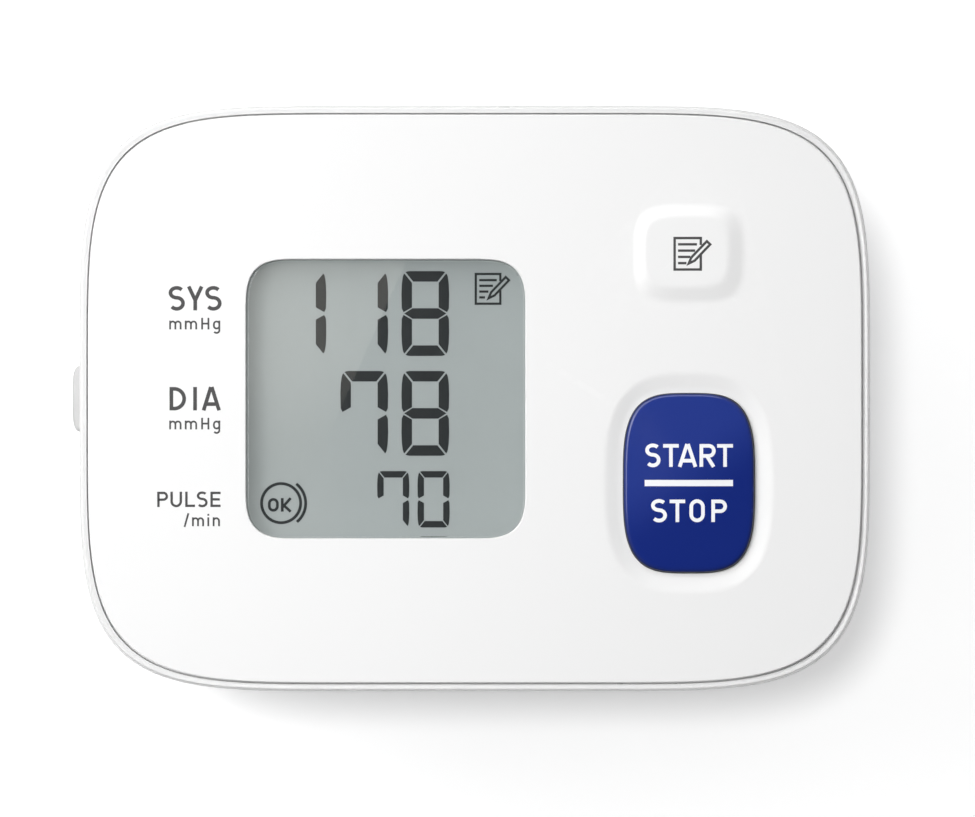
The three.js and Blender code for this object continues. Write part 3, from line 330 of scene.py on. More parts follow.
rear_case = case_solid("rear_case_shell")
bosses = case_solid("bosses")
boss_rods = [rod_tool(x, y, CASE_BOSS, -0.5, 13.5) for x, y in CASE_SCREWS]
boss_rods += [rod_tool(x, y, CUFF_BOSS, -0.5, 7) for x, y in CUFF_SCREWS]
carve(boss_rods[0], boss_rods[1:], "UNION")
carve(bosses, boss_rods[:1], "INTERSECT")
hatch_hole = box_tool(
    (-44, -HATCH["half_y"] - HATCH["gap"], HATCH["bottom"]),
    (HATCH["inner_x"], HATCH["half_y"] + HATCH["gap"], HATCH["top"] + HATCH["gap"]),
)
carve(rear_case, [cavity_tool(), hatch_hole])
carve(rear_case, [bosses], "UNION")
holes = [rod_tool(x, y, HEAD_BORE, -1, 1.9) for x, y in CASE_SCREWS]
holes += [rod_tool(x, y, SCREW_BORE, -2, 14) for x, y in CASE_SCREWS]
holes += [rod_tool(x, y, SCREW_BORE, -2, 6.6) for x, y in CUFF_SCREWS]
holes.append(rod_tool(*NIPPLE, 2.1, -2, 3))
carve(rear_case, holes)
finish_surface(rear_case)
seat(rear_case, "housing", "case_white", "rear_case")

# %% [markdown]
# ## Battery cover
# The cover is the piece of the left flank over the cells. It is cut from the same shell, so that its skin
# runs on from the case without a step. Its finger tab stands a millimetre proud of the unit's outline and
# has four fine grip ridges: its outward face is moved in by 0.045 * (1 - cos(2 * pi * height / 0.475)).

# %% Battery cover
battery_cover = case_solid("battery_cover_shell")
keep = box_tool(
    (-44, -HATCH["half_y"], HATCH["bottom"] + HATCH["gap"]),
    (HATCH["inner_x"] - HATCH["gap"], HATCH["half_y"], HATCH["top"]),
)
carve(battery_cover, [cavity_tool()])
carve(battery_cover, [keep], "INTERSECT")
TAB = dict(half_x=1.3, half_y=3.55, power=4, centre=(-41.75, 0))
RIDGE_DEPTH, RIDGE_PITCH = 0.045, 0.475
tab_height = np.linspace(10.95, 12.85, 33)
tab_ridges = -RIDGE_DEPTH * (1 - np.cos((tab_height - tab_height[0]) * 2 * np.pi / RIDGE_PITCH))
tab_profile = [(-0.35, 10.6), (-0.1, 10.7), *zip(tab_ridges, tab_height), (-0.1, 13.1), (-0.35, 13.2)]
tab = moulding("battery_cover_tab", TAB, tab_profile, 160)
ribs = [box_tool((-39.2, y - 0.6, 4.15), (-36.8, y + 0.6, 10.15)) for y in (-8, 0, 8)]
legs = [box_tool((-38.5, y, 5.15), (-35.8, y + 0.8, 9.15)) for y in (12.45, -13.25)]
carve(battery_cover, ribs + legs, "UNION")
finish_surface(battery_cover)
seat(battery_cover, "battery_door", "case_white", "battery_cover")
finish_surface(tab, 50)
seat(tab, "battery_door", "case_white", "battery_cover")

# %% [markdown]
# ## Front cover
# The face is a shallow tray with a flat front, a crisp edge along the parting line, the screen opening and a
# soft dish that leads the thumb to the large key. The dish is a stack of rings whose outline grows evenly
# while the height follows a ramp that starts and ends level, so that it runs into the face and into its
# floor without an edge.

# %% Front cover
WINDOW = dict(half_x=14.8, half_y=14.79, straight_x=9.7, straight_y=9.69, power=3, centre=(-9.45, -0.03))
START = dict(half_x=6.99, half_y=9.54, power=3.43, centre=(22.7, -8.94))
DISH = dict(half_x=9.2, half_y=11.95, power=2.8, centre=START["centre"])
DISH_DEPTH = 0.38
PAD = dict(half_x=6.07, half_y=5.41, power=3.8, centre=(22.77, 15.39))
PLATEAU = dict(half_x=4.15, half_y=3.49, power=3.6, centre=(22.39, 15.61))
PAD_RISE = 0.45
KEY_GAP = 0.05
PAD_GAP = 0.3


def between(small, large, share):
    """An outline whose sizes lie between two outlines' sizes."""
    mixed = {key: small[key] + (large[key] - small[key]) * share for key in ("half_x", "half_y", "power")}
    return dict(mixed, centre=[s + (l - s) * share for s, l in zip(small["centre"], large["centre"])])


def ramp(share, bend=0.3):
    """A straight ramp from 0 to 1 that starts and ends level: its slope grows over the first `bend` of the
    way and fades over the last, so the height is t^2 / 2b, then t - b / 2, all divided by 1 - b."""
    share = np.asarray(share, float)
    first = share**2 / (2 * bend)
    last = 1 - bend - (1 - share) ** 2 / (2 * bend)
    return np.where(share < bend, first, np.where(share > 1 - bend, last, share - bend / 2)) / (1 - bend)


def slope(inner, outer, inner_z, outer_z, steps=24):
    """Rings from one outline to another: even steps outwards, height along a ramp with soft ends."""
    shares = np.linspace(0, 1, steps + 1)
    heights = inner_z + (outer_z - inner_z) * ramp(shares)
    return [ring(between(inner, outer, share), 0, z) for share, z in zip(shares, heights)]


def shrunk(sizes, share):
    """An outline with both half sizes times a share."""
    return dict(sizes, half_x=sizes["half_x"] * share, half_y=sizes["half_y"] * share)


edge_radius = 0.12
edge = arc((-groove_inner - edge_radius, FACE - edge_radius), (edge_radius, edge_radius), 0, 90, 6)
cover_profile = [(-groove_inner, LEDGE + 0.3)] + [tuple(point) for point in edge]
front_cover = moulding("front_cover_shell", UNIT, cover_profile)
hollow = moulding("hollow", UNIT, [(-2.29, LEDGE - 1), (-2.29, FACE - 1.8)])
carve(front_cover, [hollow])
carve(front_cover, [rod_tool(x, y, 2.4, 15.3, FACE - 1.3) for x, y in CASE_SCREWS], "UNION")
opening = [(0, LEDGE), (0, FACE - 0.12), (0.04, FACE - 0.05), (0.12, FACE), (0.12, FACE + 1)]
window_tool = moulding("window_tool", WINDOW, opening)
start_hole = dict(
    START, half_x=START["half_x"] + KEY_GAP, half_y=START["half_y"] + KEY_GAP,
    centre=(START["centre"][0] + 0.035, START["centre"][1] - 0.035),
)
dish_rows = [ring(start_hole, 0, LEDGE)] + slope(start_hole, DISH, FACE - DISH_DEPTH, FACE)
dish_tool = make_mesh("dish_tool", *loft(dish_rows + [ring(DISH, 0, FACE + 1)]))
pad_tool = moulding("pad_tool", PAD, [(PAD_GAP, LEDGE), (PAD_GAP, FACE + 1)])
pilot_holes = [rod_tool(x, y, SCREW_BORE, 14, 17.6) for x, y in CASE_SCREWS]
carve(front_cover, [window_tool, dish_tool, pad_tool] + pilot_holes)
finish_surface(front_cover)
seat(front_cover, "housing", "face_white", "front_cover")

# %% [markdown]
# ## Start key
# The large key is a hollow cap with a small rounded edge and a slightly crowned top, and a flange behind the
# face keeps it in. The crown is one height formula, `key_top`, so that the words can later lie on it.

# %% Start key
KEY_BOTTOM = 18.1
KEY_EDGE = 0.46
KEY_SIDE_TOP = 20.84
CROWN = 0.3


def key_top(x, y):
    """Height of the large key's top: KEY_SIDE_TOP + KEY_EDGE at its edge and CROWN more in its middle. With
    the superellipse radius r = (|x / a| ** p + |y / b| ** p) ** (1 / p) it is edge + CROWN * (1 - r ** 2)."""
    centre_x, centre_y = START["centre"]
    across_x = np.abs((np.asarray(x) - centre_x) / START["half_x"]) ** START["power"]
    across_y = np.abs((np.asarray(y) - centre_y) / START["half_y"]) ** START["power"]
    radius = (across_x + across_y) ** (1 / START["power"])
    return KEY_SIDE_TOP + KEY_EDGE + CROWN * (1 - radius**2)


key_profile = [(-1.2, 19.8), (-1.2, KEY_BOTTOM), (1, KEY_BOTTOM), (1, 18.9), (0.05, 18.9), (0, 19)]
key_profile.append((0, KEY_SIDE_TOP))
edge_turn = np.linspace(0, np.pi / 2, 9)[1:-1]
edge_grow = -KEY_EDGE * (1 - np.cos(edge_turn))
start_rows = list(rings(START, key_profile))
for grow, turn in zip(edge_grow, edge_turn):
    edge_ring = ring(START, grow, 0)
    rise = key_top(edge_ring[:, 0], edge_ring[:, 1]) - KEY_SIDE_TOP
    edge_ring[:, 2] = KEY_SIDE_TOP + rise * math.sin(turn)
    start_rows.append(edge_ring)
for share in np.linspace(1 - KEY_EDGE / START["half_x"], 0.03, 20):
    top_ring = ring(shrunk(START, share), 0, 0)
    top_ring[:, 2] = key_top(top_ring[:, 0], top_ring[:, 1])
    start_rows.append(top_ring)
start_button = make_mesh("start_key_cap", *loft(start_rows))
finish_surface(start_button, 40)
seat(start_button, "start_key", "button_blue", "start_button")

# %% [markdown]
# ## Memory key
# The slope is the same soft ramp as the dish's, only upwards.

# %% Memory key
slope_rows = slope(PAD, PLATEAU, FACE, FACE + PAD_RISE)
top_rows = [ring(shrunk(PLATEAU, 1 - s), 0, FACE + PAD_RISE) for s in (0.1, 0.3, 0.6, 0.95)]
under_rows = [ring(PLATEAU, 0, FACE - 0.2), ring(PAD, -0.6, FACE - 0.45)]
foot_rows = [ring(PAD, PAD_GAP, FACE - 0.45), ring(PAD, PAD_GAP, FACE)]
memory_skin = make_mesh("memory_key_skin", *loft(under_rows + foot_rows + slope_rows + top_rows))
finish_surface(memory_skin)
pad_x, pad_y = PAD["centre"]
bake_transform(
    memory_skin, "housing", "memory_key",
    start=to_frame((pad_x, pad_y, FACE)), end=to_frame((pad_x, pad_y, FACE + PAD_RISE)),
)
seat(memory_skin, "memory_key", "face_white", "memory_button")

core_profile = [(-1.2, 19.6), (-1.2, KEY_BOTTOM), (1, KEY_BOTTOM), (1, 18.9), (0, 18.9), (0, 19.6)]
core_profile.append((-0.4, 19.9))
memory_core = moulding("memory_key_core", PAD, core_profile, 128)
finish_surface(memory_core)
seat(memory_core, "memory_key", "face_white", "memory_button")

# %% [markdown]
# ## Display window
# The window is a clear plate held from behind by its flange. Its edge is broken by a small chamfer, and it
# lies a little below the face.

# %% Display window
window_profile = [(1.6, 18.1), (1.6, 18.9), (-0.12, 18.9), (-0.12, 20.45), (-0.2, 20.56), (-0.32, 20.6)]
display_window = moulding("display_window_plate", WINDOW, window_profile)
finish_surface(display_window)
seat(display_window, "housing", "clear_window", "display_window")

# %% [markdown]
# ## The reading on the liquid crystal panel
# The digits are the dark segments of the panel, thin shapes on its glass. A segment is drawn in shares of the
# stroke: the outer corners of a digit are rounded, its inner openings are square, and the segments meet at
# narrow mitred gaps.

# %% Seven segment digits
GLASS_TOP = 17.8
INK = 0.02


def flat_piece(name, shapes, bottom):
    """Thin closed plates from flat outlines, given anticlockwise, all in one mesh."""
    return joined(name, [
        loft([np.column_stack([shape, np.full(len(shape), height)]) for height in (bottom, bottom + INK)])
        for shape in shapes
    ])


def segments(width, height, stroke):
    """The seven segments as outlines with x to the right and y up from the digit's lower left corner."""
    w, m, s = width, height / 2, stroke
    top = [(0.39, 0.1), (0.58, 0.03), (0.8, 0)]
    top = [(x * s, y * s) for x, y in top]
    top = top + [(w - x, y) for x, y in top[::-1]] + [(w - 1.12 * s, s), (1.12 * s, s)]
    side = [(0.2 * s, m - 0.13 * s), (0.03 * s, m - 0.5 * s)]
    low_side = [(0, 2.2), (0.04, 1.2), (0.12, 0.6), (0.19, 0.36), (0.28, 0.22), (1, 1.12)]
    side += [(x * s, y * s) for x, y in low_side] + [(s, m - 0.58 * s)]
    bar = [(0.27 * s, m), (1.05 * s, m - s / 2), (w - 1.05 * s, m - s / 2)]
    bar += [(w - x, 2 * m - y) for x, y in bar]
    top, side, bar = (np.array(shape) for shape in (top, side, bar))
    flip_x, flip_y = (-1, 1), (1, -1)
    upper_left = side * flip_y + (0, height)
    lower_left = side
    shapes = dict(
        a=top * flip_y + (0, height), g=bar, d=top,
        f=upper_left, e=lower_left, b=upper_left * flip_x + (w, 0), c=lower_left * flip_x + (w, 0),
    )
    return {key: anticlockwise(shape) for key, shape in shapes.items()}


def anticlockwise(shape):
    """Turns an outline round if its signed area, the sum of x * dy, is negative."""
    x, y = np.asarray(shape).T
    area = np.sum(x * np.roll(y, -1) - np.roll(x, -1) * y)
    return shape if area > 0 else shape[::-1]


LIT = {"1": "bc", "7": "fabc", "8": "abcdefg", "0": "abcdef"}
LARGE = dict(width=5.08, height=9.02, stroke=1.12)
SMALL = dict(width=3.42, height=6.0, stroke=0.69)
PHOTO_SCALE = 9.43
PHOTO_MIDDLE = (474.75, 398.61)


def from_photo(x, y):
    """A place on the face, in millimetres, from its pixel in the photograph's frame."""
    return (x - PHOTO_MIDDLE[0]) / PHOTO_SCALE, (PHOTO_MIDDLE[1] - y) / PHOTO_SCALE


READING = [
    ("1", 278.0, 355.8, LARGE), ("1", 340.0, 355.8, LARGE), ("8", 401.2, 355.8, LARGE),
    ("7", 340.0, 455.9, LARGE), ("8", 401.2, 455.9, LARGE),
    ("7", 376.9, 527.8, SMALL), ("0", 417.3, 527.8, SMALL),
]
digit_shapes = []
for digit, left, bottom, sizes in READING:
    lit = segments(**sizes)
    digit_shapes += [lit[key] + from_photo(left, bottom) for key in LIT[digit]]
digits = flat_piece("display_digits", digit_shapes, GLASS_TOP + 0.01)
seat(digits, "housing", "display_glass")

# %% [markdown]
# ## Strokes
# Labels and icons are printed lines of one even width. Each is a path, and a ribbon is laid along it: at
# each point the two sides lie half a width away, square to the path, and at a bend both sides meet in a
# mitre, which makes the step 1 / cos(half the bend) longer. The ribbon gets the thickness of a coat of ink.

# %% Ribbons along paths
INK_LIFT = 0.012


def ribbon_rows(path, width, closed):
    """Left and right side of a ribbon: path plus and minus half the width along the mitred normals."""
    path = np.asarray(path, float)
    if closed:
        before, after = path - np.roll(path, 1, axis=0), np.roll(path, -1, axis=0) - path
    else:
        legs = np.diff(path, axis=0)
        before, after = np.vstack([legs[:1], legs]), np.vstack([legs, legs[-1:]])
    before, after = (leg / np.hypot(*leg.T)[:, None] for leg in (before, after))
    middle = before + after
    middle = middle / np.hypot(*middle.T)[:, None]
    normal = np.column_stack([-middle[:, 1], middle[:, 0]])
    reach = width / 2 / np.maximum(np.sum(middle * before, axis=1), 0.35)
    return path + normal * reach[:, None], path - normal * reach[:, None]


def printed(name, strokes, surface, lift=INK_LIFT, sink=0.03):
    """All strokes (path, width, closed) as one mesh of thin bars that lie on surface(x, y). Each bar's top is
    a few thousandths of a millimetre off its neighbours', so that strokes which cross share no face."""
    bars = []
    for number, (path, width, closed) in enumerate(strokes):
        left, right = ribbon_rows(path, width, closed)
        over = lift + 0.003 * (number % 4)
        sides = ((left, over), (right, over), (right, -sink), (left, -sink))
        rows = [np.column_stack([side, surface(side[:, 0], side[:, 1]) + up]) for side, up in sides]
        bars.append(loft(np.stack(rows, axis=1), closed))
    return joined(name, bars)


def bow(centre, radius, start, end, steps):
    """Points of an elliptic arc as pairs, for use in a path."""
    return [tuple(point) for point in arc(centre, radius, start, end, steps)]


# %% [markdown]
# ## A plain alphabet
# The words are only what such keys and readings always carry: START and STOP, the names of the three
# readings and their units. They are set in a plain stroke alphabet of our own. A letter is a few paths in a
# box of width w and height h for a stroke s, so one function serves every size.

# %% Stroke alphabet
def glyph(letter, w, h, s):
    """Paths of one letter in its box, as (points, closed). t is half a stroke, so strokes end at the box, and
    r is the radius that fills its width. Only the first path of D, O and g is closed."""
    t, r = s / 2, w / 2 - s / 2
    middle, bowl, fork, bar = w / 2, 0.4 * h, 0.42 * h, 0.27 * h
    stem = [(t, 0), (t, h)]
    inset = 0.58 * s + (middle - 0.58 * s) * bar / h
    d_round, p_round, m_round = min(0.42 * h, w - s), (h - s - bowl) / 2, (middle - t) / 2
    upper, lower = (h - s) * 0.235, (h - s) * 0.265
    cap = bow((w - t - p_round, h - t - p_round), (p_round, p_round), 90, -90, 14)
    paths = {
        "I": [stem],
        "L": [[(t, h), (t, t), (w, t)]],
        "E": [[(w, h - t), (t, h - t), (t, t), (w, t)], [(t, h / 2), (w * 0.92, h / 2)]],
        "T": [[(0, h - t), (w, h - t)], [(middle, h - t), (middle, 0)]],
        "H": [stem, [(w - t, 0), (w - t, h)], [(t, h / 2), (w - t, h / 2)]],
        "U": [[(t, h)] + bow((middle, t + r), (r, r), 180, 360, 16) + [(w - t, h)]],
        "Y": [[(x, h), (middle, fork)] for x in (0.6 * s, w - 0.6 * s)] + [[(middle, fork + t), (middle, 0)]],
        "A": [
            [(0.58 * s, 0), (middle - 0.12 * s, h)], [(w - 0.58 * s, 0), (middle + 0.12 * s, h)],
            [(inset, bar), (w - inset, bar)],
        ],
        "K": [stem, [(t, 0.3 * h), (w - 0.6 * s, h)], [(t + 0.8 * s, fork), (w - 0.6 * s, 0)]],
        "D": [[(t, t)] + bow((w - t - d_round, t + d_round), (d_round, d_round), -90, 0, 10)
              + bow((w - t - d_round, h - t - d_round), (d_round, d_round), 0, 90, 10) + [(t, h - t)]],
        "O": [bow((middle, t + r), (r, r), 180, 360, 16) + bow((middle, h - t - r), (r, r), 0, 180, 16)],
        "P": [[(t, 0), (t, h - t)] + cap + [(t, bowl + t)]],
        "S": [bow((middle, h - t - upper), (r, upper), 38, 262, 16)
              + bow((middle, t + lower), (r, lower), 82, -142, 16)],
        "m": [stem] + [
            bow((x + m_round, h - t - m_round), (m_round, m_round), 180, 0, 10) + [(x + 2 * m_round, 0)]
            for x in (t, middle)
        ],
        "n": [stem, bow((middle, h - t - r), (r, r), 180, 0, 12) + [(w - t, 0)]],
        "i": [stem, [(t, h * 1.18), (t, h * 1.18 + s)]],
        "g": [
            bow((middle, t + r), (r, r), 180, 360, 12) + bow((middle, h - t - r), (r, r), 0, 180, 12),
            [(w - t, h)] + bow((middle, -0.12 * h), (r, 0.28 * h), 0, -150, 12),
        ],
        "/": [[(t, 0), (w - t, h)]],
    }
    paths["R"] = paths["P"] + [[(w * 0.45, bowl + t), (w - 0.55 * s, 0)]]
    return [(path, letter in "DOg" and number == 0) for number, path in enumerate(paths[letter])]


def word(letters, stroke):
    """Strokes of several letters, each given as (letter, left, right, top, bottom) in photograph pixels."""
    strokes = []
    for letter, left, right, top, bottom in letters:
        w, h = (right - left) / PHOTO_SCALE, (bottom - top) / PHOTO_SCALE
        corner = from_photo(left, bottom)
        for path, closed in glyph(letter, w, h, stroke / PHOTO_SCALE):
            strokes.append((np.asarray(path) + corner, stroke / PHOTO_SCALE, closed))
    return strokes


def flat_at(height):
    """A level surface for printing on."""
    return lambda x, y: np.full(np.shape(x), height)


print("alphabet ready")

# %% [markdown]
# ## Labels on the face
# The three readings are named beside the screen, with their units below in small letters.

# %% Face labels
labels = word([
    ("S", 168.6, 184.9, 286, 310.7), ("Y", 186.5, 203.9, 286.4, 310.4), ("S", 205.2, 221.6, 286, 310.7),
    ("D", 169.5, 186, 387, 410.4), ("I", 193.2, 196.9, 387, 410.4), ("A", 201.4, 221.2, 387, 410.4),
], 3.7)
labels += word([
    ("P", 157.2, 168, 491.7, 507), ("U", 170.4, 182, 491.7, 507.2), ("L", 185.2, 195, 491.7, 507),
    ("S", 196.8, 207.6, 491.4, 507.3), ("E", 210.4, 220.6, 491.7, 507),
], 2.4)
for rise in (0, 100):
    labels += word([
        ("m", 169.2, 181.5, 320.6 + rise, 329.4 + rise), ("m", 184.8, 197.1, 320.6 + rise, 329.4 + rise),
        ("H", 201.2, 209.3, 317.8 + rise, 329.4 + rise), ("g", 213, 220.2, 320.6 + rise, 329.4 + rise),
    ], 1.8)
labels += word([
    ("/", 183.6, 189.3, 513.2, 527), ("m", 192, 204, 517.3, 526.2), ("i", 207.4, 209.2, 517.3, 526.2),
    ("n", 212.7, 219.9, 517.3, 526.2),
], 1.8)
face_labels = printed("face_labels", labels, flat_at(FACE))
seat(face_labels, "housing", "face_white")

# %% [markdown]
# ## Words on the large key
# START and STOP are moulded in white with a bar between them, and follow the crown of the key.

# %% Key words
key_words = word([
    ("S", 645.2, 660.4, 443.5, 467.2), ("T", 663, 678.6, 444, 466.8), ("A", 677.4, 697.4, 444, 466.8),
    ("R", 699.4, 715.5, 444, 466.8), ("T", 717, 732.8, 444, 466.8),
    ("S", 651, 666.8, 499, 522.3), ("T", 669.5, 685, 499.5, 521.9), ("O", 689.3, 704.6, 499.2, 522.1),
    ("P", 711.2, 726.8, 499.5, 521.9),
], 3.6)
bar = [from_photo(x, 483) for x in np.linspace(644.6, 732.8, 12)]
key_words.append((bar, 6.2 / PHOTO_SCALE, False))
start_words = printed("start_key_words", key_words, key_top, 0.015, 0.05)
seat(start_words, "start_key", "face_white")

# %% [markdown]
# ## Icons
# A sheet of notes with a pencil stands for the memory, on its key and on the screen, and a ring with OK tells
# that the cuff sits well. They are drawn with the same ribbons.

# %% Note icons and the ring
def note_icon(left, top, right, bottom, lines, pen_tip, pen_end, stroke):
    """Strokes of a sheet with lines and a slanted outlined pencil, in pixels of the photograph."""
    half = stroke / 2
    tip, end = np.array(pen_tip, float), np.array(pen_end, float)
    along = (end - tip) / np.hypot(*(end - tip))
    side = np.array([-along[1], along[0]])
    wide = 2.3
    shoulder = tip + along * 6.2
    pen = [tip, shoulder + side * wide, end + side * wide, end - side * wide, shoulder - side * wide]
    sheet = [
        (right - half, top + 8.2), (right - half, top + half), (left + half, top + half),
        (left + half, bottom - half), (right - half, bottom - half), (right - half, top + 17.6),
    ]
    paths = [(sheet, False), (pen, True)] + [([(left + 4.6, y), (x, y)], False) for y, x in lines]
    return [([from_photo(*point) for point in path], stroke / PHOTO_SCALE, closed) for path, closed in paths]


key_icon = printed("memory_icon", note_icon(
    673.3, 236.9, 701.9, 270.8, [(244.4, 696.8), (250.7, 695), (257, 690.2), (263.2, 686.4)],
    (688.6, 263.6), (708.4, 242.9), 2.45,
), flat_at(FACE + PAD_RISE))
seat(key_icon, "memory_key", "face_white")

ring_middle = np.array(from_photo(280.6, 503.4))
turn = np.linspace(0, 2 * np.pi, 65)[:-1]
ring_path = ring_middle + 19.6 / PHOTO_SCALE * np.column_stack([np.cos(turn), np.sin(turn)])
turn = np.radians(np.linspace(52, -50, 26))
outer_path = ring_middle + 24.6 / PHOTO_SCALE * np.column_stack([np.cos(turn), np.sin(turn)])
screen_strokes = note_icon(
    474.6, 272.5, 501.5, 304.6, [(279.8, 496.8), (285.5, 493), (291.3, 488.4), (297.1, 485)],
    (488.6, 298), (507.4, 278.3), 2.3,
)
screen_strokes += [(ring_path, 2.9 / PHOTO_SCALE, True), (outer_path, 2.9 / PHOTO_SCALE, False)]
screen_strokes += word([("O", 267.4, 278.2, 498.3, 511.9), ("K", 280.4, 291.8, 498.3, 511.9)], 2.7)
screen_icons = printed("display_icons", screen_strokes, flat_at(GLASS_TOP + 0.01), INK, 0)
seat(screen_icons, "housing", "display_glass")

# %% [markdown]
# ## The path of the cuff
# The cuff is a pre-curled band: it starts past the right end of the unit, runs leftwards under it, turns
# down round the left arch, back along the bottom and up the right arch. A station s is a length along the
# inside of this loop. With a turn phi = (min(s, 0) + clip(s - 26, 0, A) + max(s - 52 - A, 0)) / 18 and a
# centre that slides along the two straight runs, every point of every layer is centre + (18 +
# offset) * (-sin(phi), cos(phi)). So the cloth can be drawn flat, as station, width and offset, and is then
# bent by this one formula.

# %% Path of the band
ARCH_RADIUS = 18
ARCH_SHIFT = 13
ARCH_Z = 21.5
RUN = 2 * ARCH_SHIFT
ARCH = math.pi * ARCH_RADIUS
BAND_START = -6.3
BAND_END = 2 * RUN + 1.72 * ARCH
BLADDER_LAST = RUN + 0.84 * ARCH
HALF_WIDTH = 26.7
SQUEEZE = 0.29


def smooth(share):
    """3 t^2 - 2 t^3, held between 0 and 1."""
    held = np.clip(share, 0, 1)
    return held * held * (3 - 2 * held)


def resting(station):
    """1 where the band lies on the table, falling to 0 within 4 mm round both arches."""
    return smooth((station - RUN - ARCH + 7) / 4) * smooth((2 * RUN + ARCH + 7 - station) / 4)


def bent(station, y, offset):
    """Flat cloth coordinates to the curled band, in unit millimetres: see the formula above. On the table,
    what stands out by more than 3 mm is squeezed a little, so the stitches touch it and don't sink in."""
    station, y, offset = np.broadcast_arrays(*(np.asarray(value, float) for value in (station, y, offset)))
    offset = offset - SQUEEZE * resting(station) * np.maximum(offset - 3, 0)
    phi = np.minimum(station, 0) + np.clip(station - RUN, 0, ARCH) + np.maximum(station - 2 * RUN - ARCH, 0)
    phi = phi / ARCH_RADIUS
    centre = ARCH_SHIFT - np.clip(station, 0, RUN) + np.clip(station - RUN - ARCH, 0, RUN)
    radius = ARCH_RADIUS + offset
    x = centre - radius * np.sin(phi)
    z = ARCH_Z + radius * np.cos(phi) - BACK_Z
    return np.stack([x, y, z], axis=-1)


def lift(station):
    """How far the bladder under them raises the plate and the cover."""
    return 2.1 * smooth((BLADDER_LAST - station) / 9)


def cover_top(station):
    """Offset of the outside of the cover."""
    return 3.5 + lift(station)


def rounded_half(station, start, end, half, radius):
    """Half width of a strip whose four corners are rounded: half - radius + sqrt(radius^2 - (radius - d)^2),
    where d is the distance to the nearer end, up to the radius."""
    near = np.clip(np.minimum(station - start, end - station), 0, radius)
    return half - radius + np.sqrt(np.maximum(radius**2 - (radius - near) ** 2, 0))


def strip_stations(start, end, step, radius):
    """Stations from end to end, crowded into both rounded ends as 1 - cos."""
    corner = radius * (1 - np.cos(np.linspace(0, np.pi / 2, 9)))
    body = np.linspace(start + radius, end - radius, max(int((end - start) / step), 2) + 1)
    return np.concatenate([start + corner[:-1], body, (end - corner[:-1])[::-1]])


def lay_flat(piece, corners):
    """Keeps each face corner's place in the flat cloth, in millimetres, as a UV map for the weave."""
    layer = piece.data.uv_layers.new(name="flat_mm")
    layer.data.foreach_set("uv", np.asarray(corners, np.float32).ravel())


def band_skin(name, stations, y, outside, inside):
    """Closed skin of a strip, bent onto the path. At each station its section runs over the places y at
    the offsets `outside` and back at the offsets `inside`."""
    there_and_back = np.hstack([y, y[:, ::-1]])
    offset = np.hstack([outside + 0 * y, inside + 0 * y])
    piece = make_mesh(name, *loft(bent(stations[:, None], there_and_back, offset)))
    flat = np.stack(np.broadcast_arrays(there_and_back, stations[:, None]), axis=-1).reshape(-1, 2)
    corner = np.empty(len(piece.data.loops), np.int32)
    piece.data.loops.foreach_get("vertex_index", corner)
    lay_flat(piece, flat[corner])
    return piece


print("band from station", BAND_START, "to", round(BAND_END, 1), "mm")

# %% [markdown]
# ## Cuff cover and lining
# The outside of the cuff is a brushed loop cloth that the hook patch grips, and the inside is a smooth
# nylon. Each is a strip about a millimetre thick. Its section is a flat loop of points from edge to edge and
# back. Under the edge tape the cloth is pressed in, and beside the tape's stitches it puckers: a wave along
# the band that dies out as exp(-distance) from the seam.

# %% Cuff cover and lining
TAPE_REACH = 3.0
SEAM_INSET = 2.1
TAPE = 0.33
CORNER = 2.5


def across(count):
    """Shares from -1 to 1 across a strip, a little closer together at both edges."""
    even = np.linspace(-1, 1, count)
    return even + 0.12 * np.sin(np.pi * even)


def pressed(edge_distance):
    """How much of the tape's thickness the cloth gives way to it."""
    return TAPE * 1.06 * smooth((TAPE_REACH + 0.5 - edge_distance) / 0.5)


def puckers(station, edge_distance, height):
    """Waves along the seam: two sines of unlike length, fading with the distance from the tape."""
    waves = 0.6 * np.sin(2 * np.pi * station / 2.6) + 0.4 * np.sin(2 * np.pi * station / 4.7 + 1)
    away = np.maximum(edge_distance - TAPE_REACH, 0)
    return height * waves * np.exp(-away / 1.8) * smooth(away / 0.5)


stations = strip_stations(BAND_START, BAND_END, 0.8, CORNER)
half = rounded_half(stations, BAND_START, BAND_END, HALF_WIDTH, CORNER)[:, None]
y_out = across(72) * half
end_distance = np.minimum(stations - BAND_START, BAND_END - stations)[:, None]
edge_distance = np.minimum(half - np.abs(y_out), end_distance)
top = cover_top(stations)[:, None]
outside = top - pressed(edge_distance) - 0.04 + puckers(stations[:, None], edge_distance, 0.04)
cuff_cover = band_skin("cuff_cover_cloth", stations, y_out, outside, top - 1.0)
finish_surface(cuff_cover, 50)

face = pressed(edge_distance) + 0.05 + 0.22 * np.exp(-(((half - np.abs(y_out)) - 6.2) / 0.5) ** 2)
face = face + puckers(stations[:, None], edge_distance, 0.05)
cuff_lining = band_skin("cuff_lining_cloth", stations, y_out, 0.9, face)
finish_surface(cuff_lining, 50)

# %% [markdown]
# ## Edge tape and its stitches
# A woven tape is folded over the raw edge of the cuff and sewn through. Its section is a U: it lies on the
# cover, turns round the edge and lies on the lining. It is carried once round the band's outline, a
# rectangle with rounded corners, so it is one closed ring. The stitches are short threads, a few faces each,
# laid in one array.

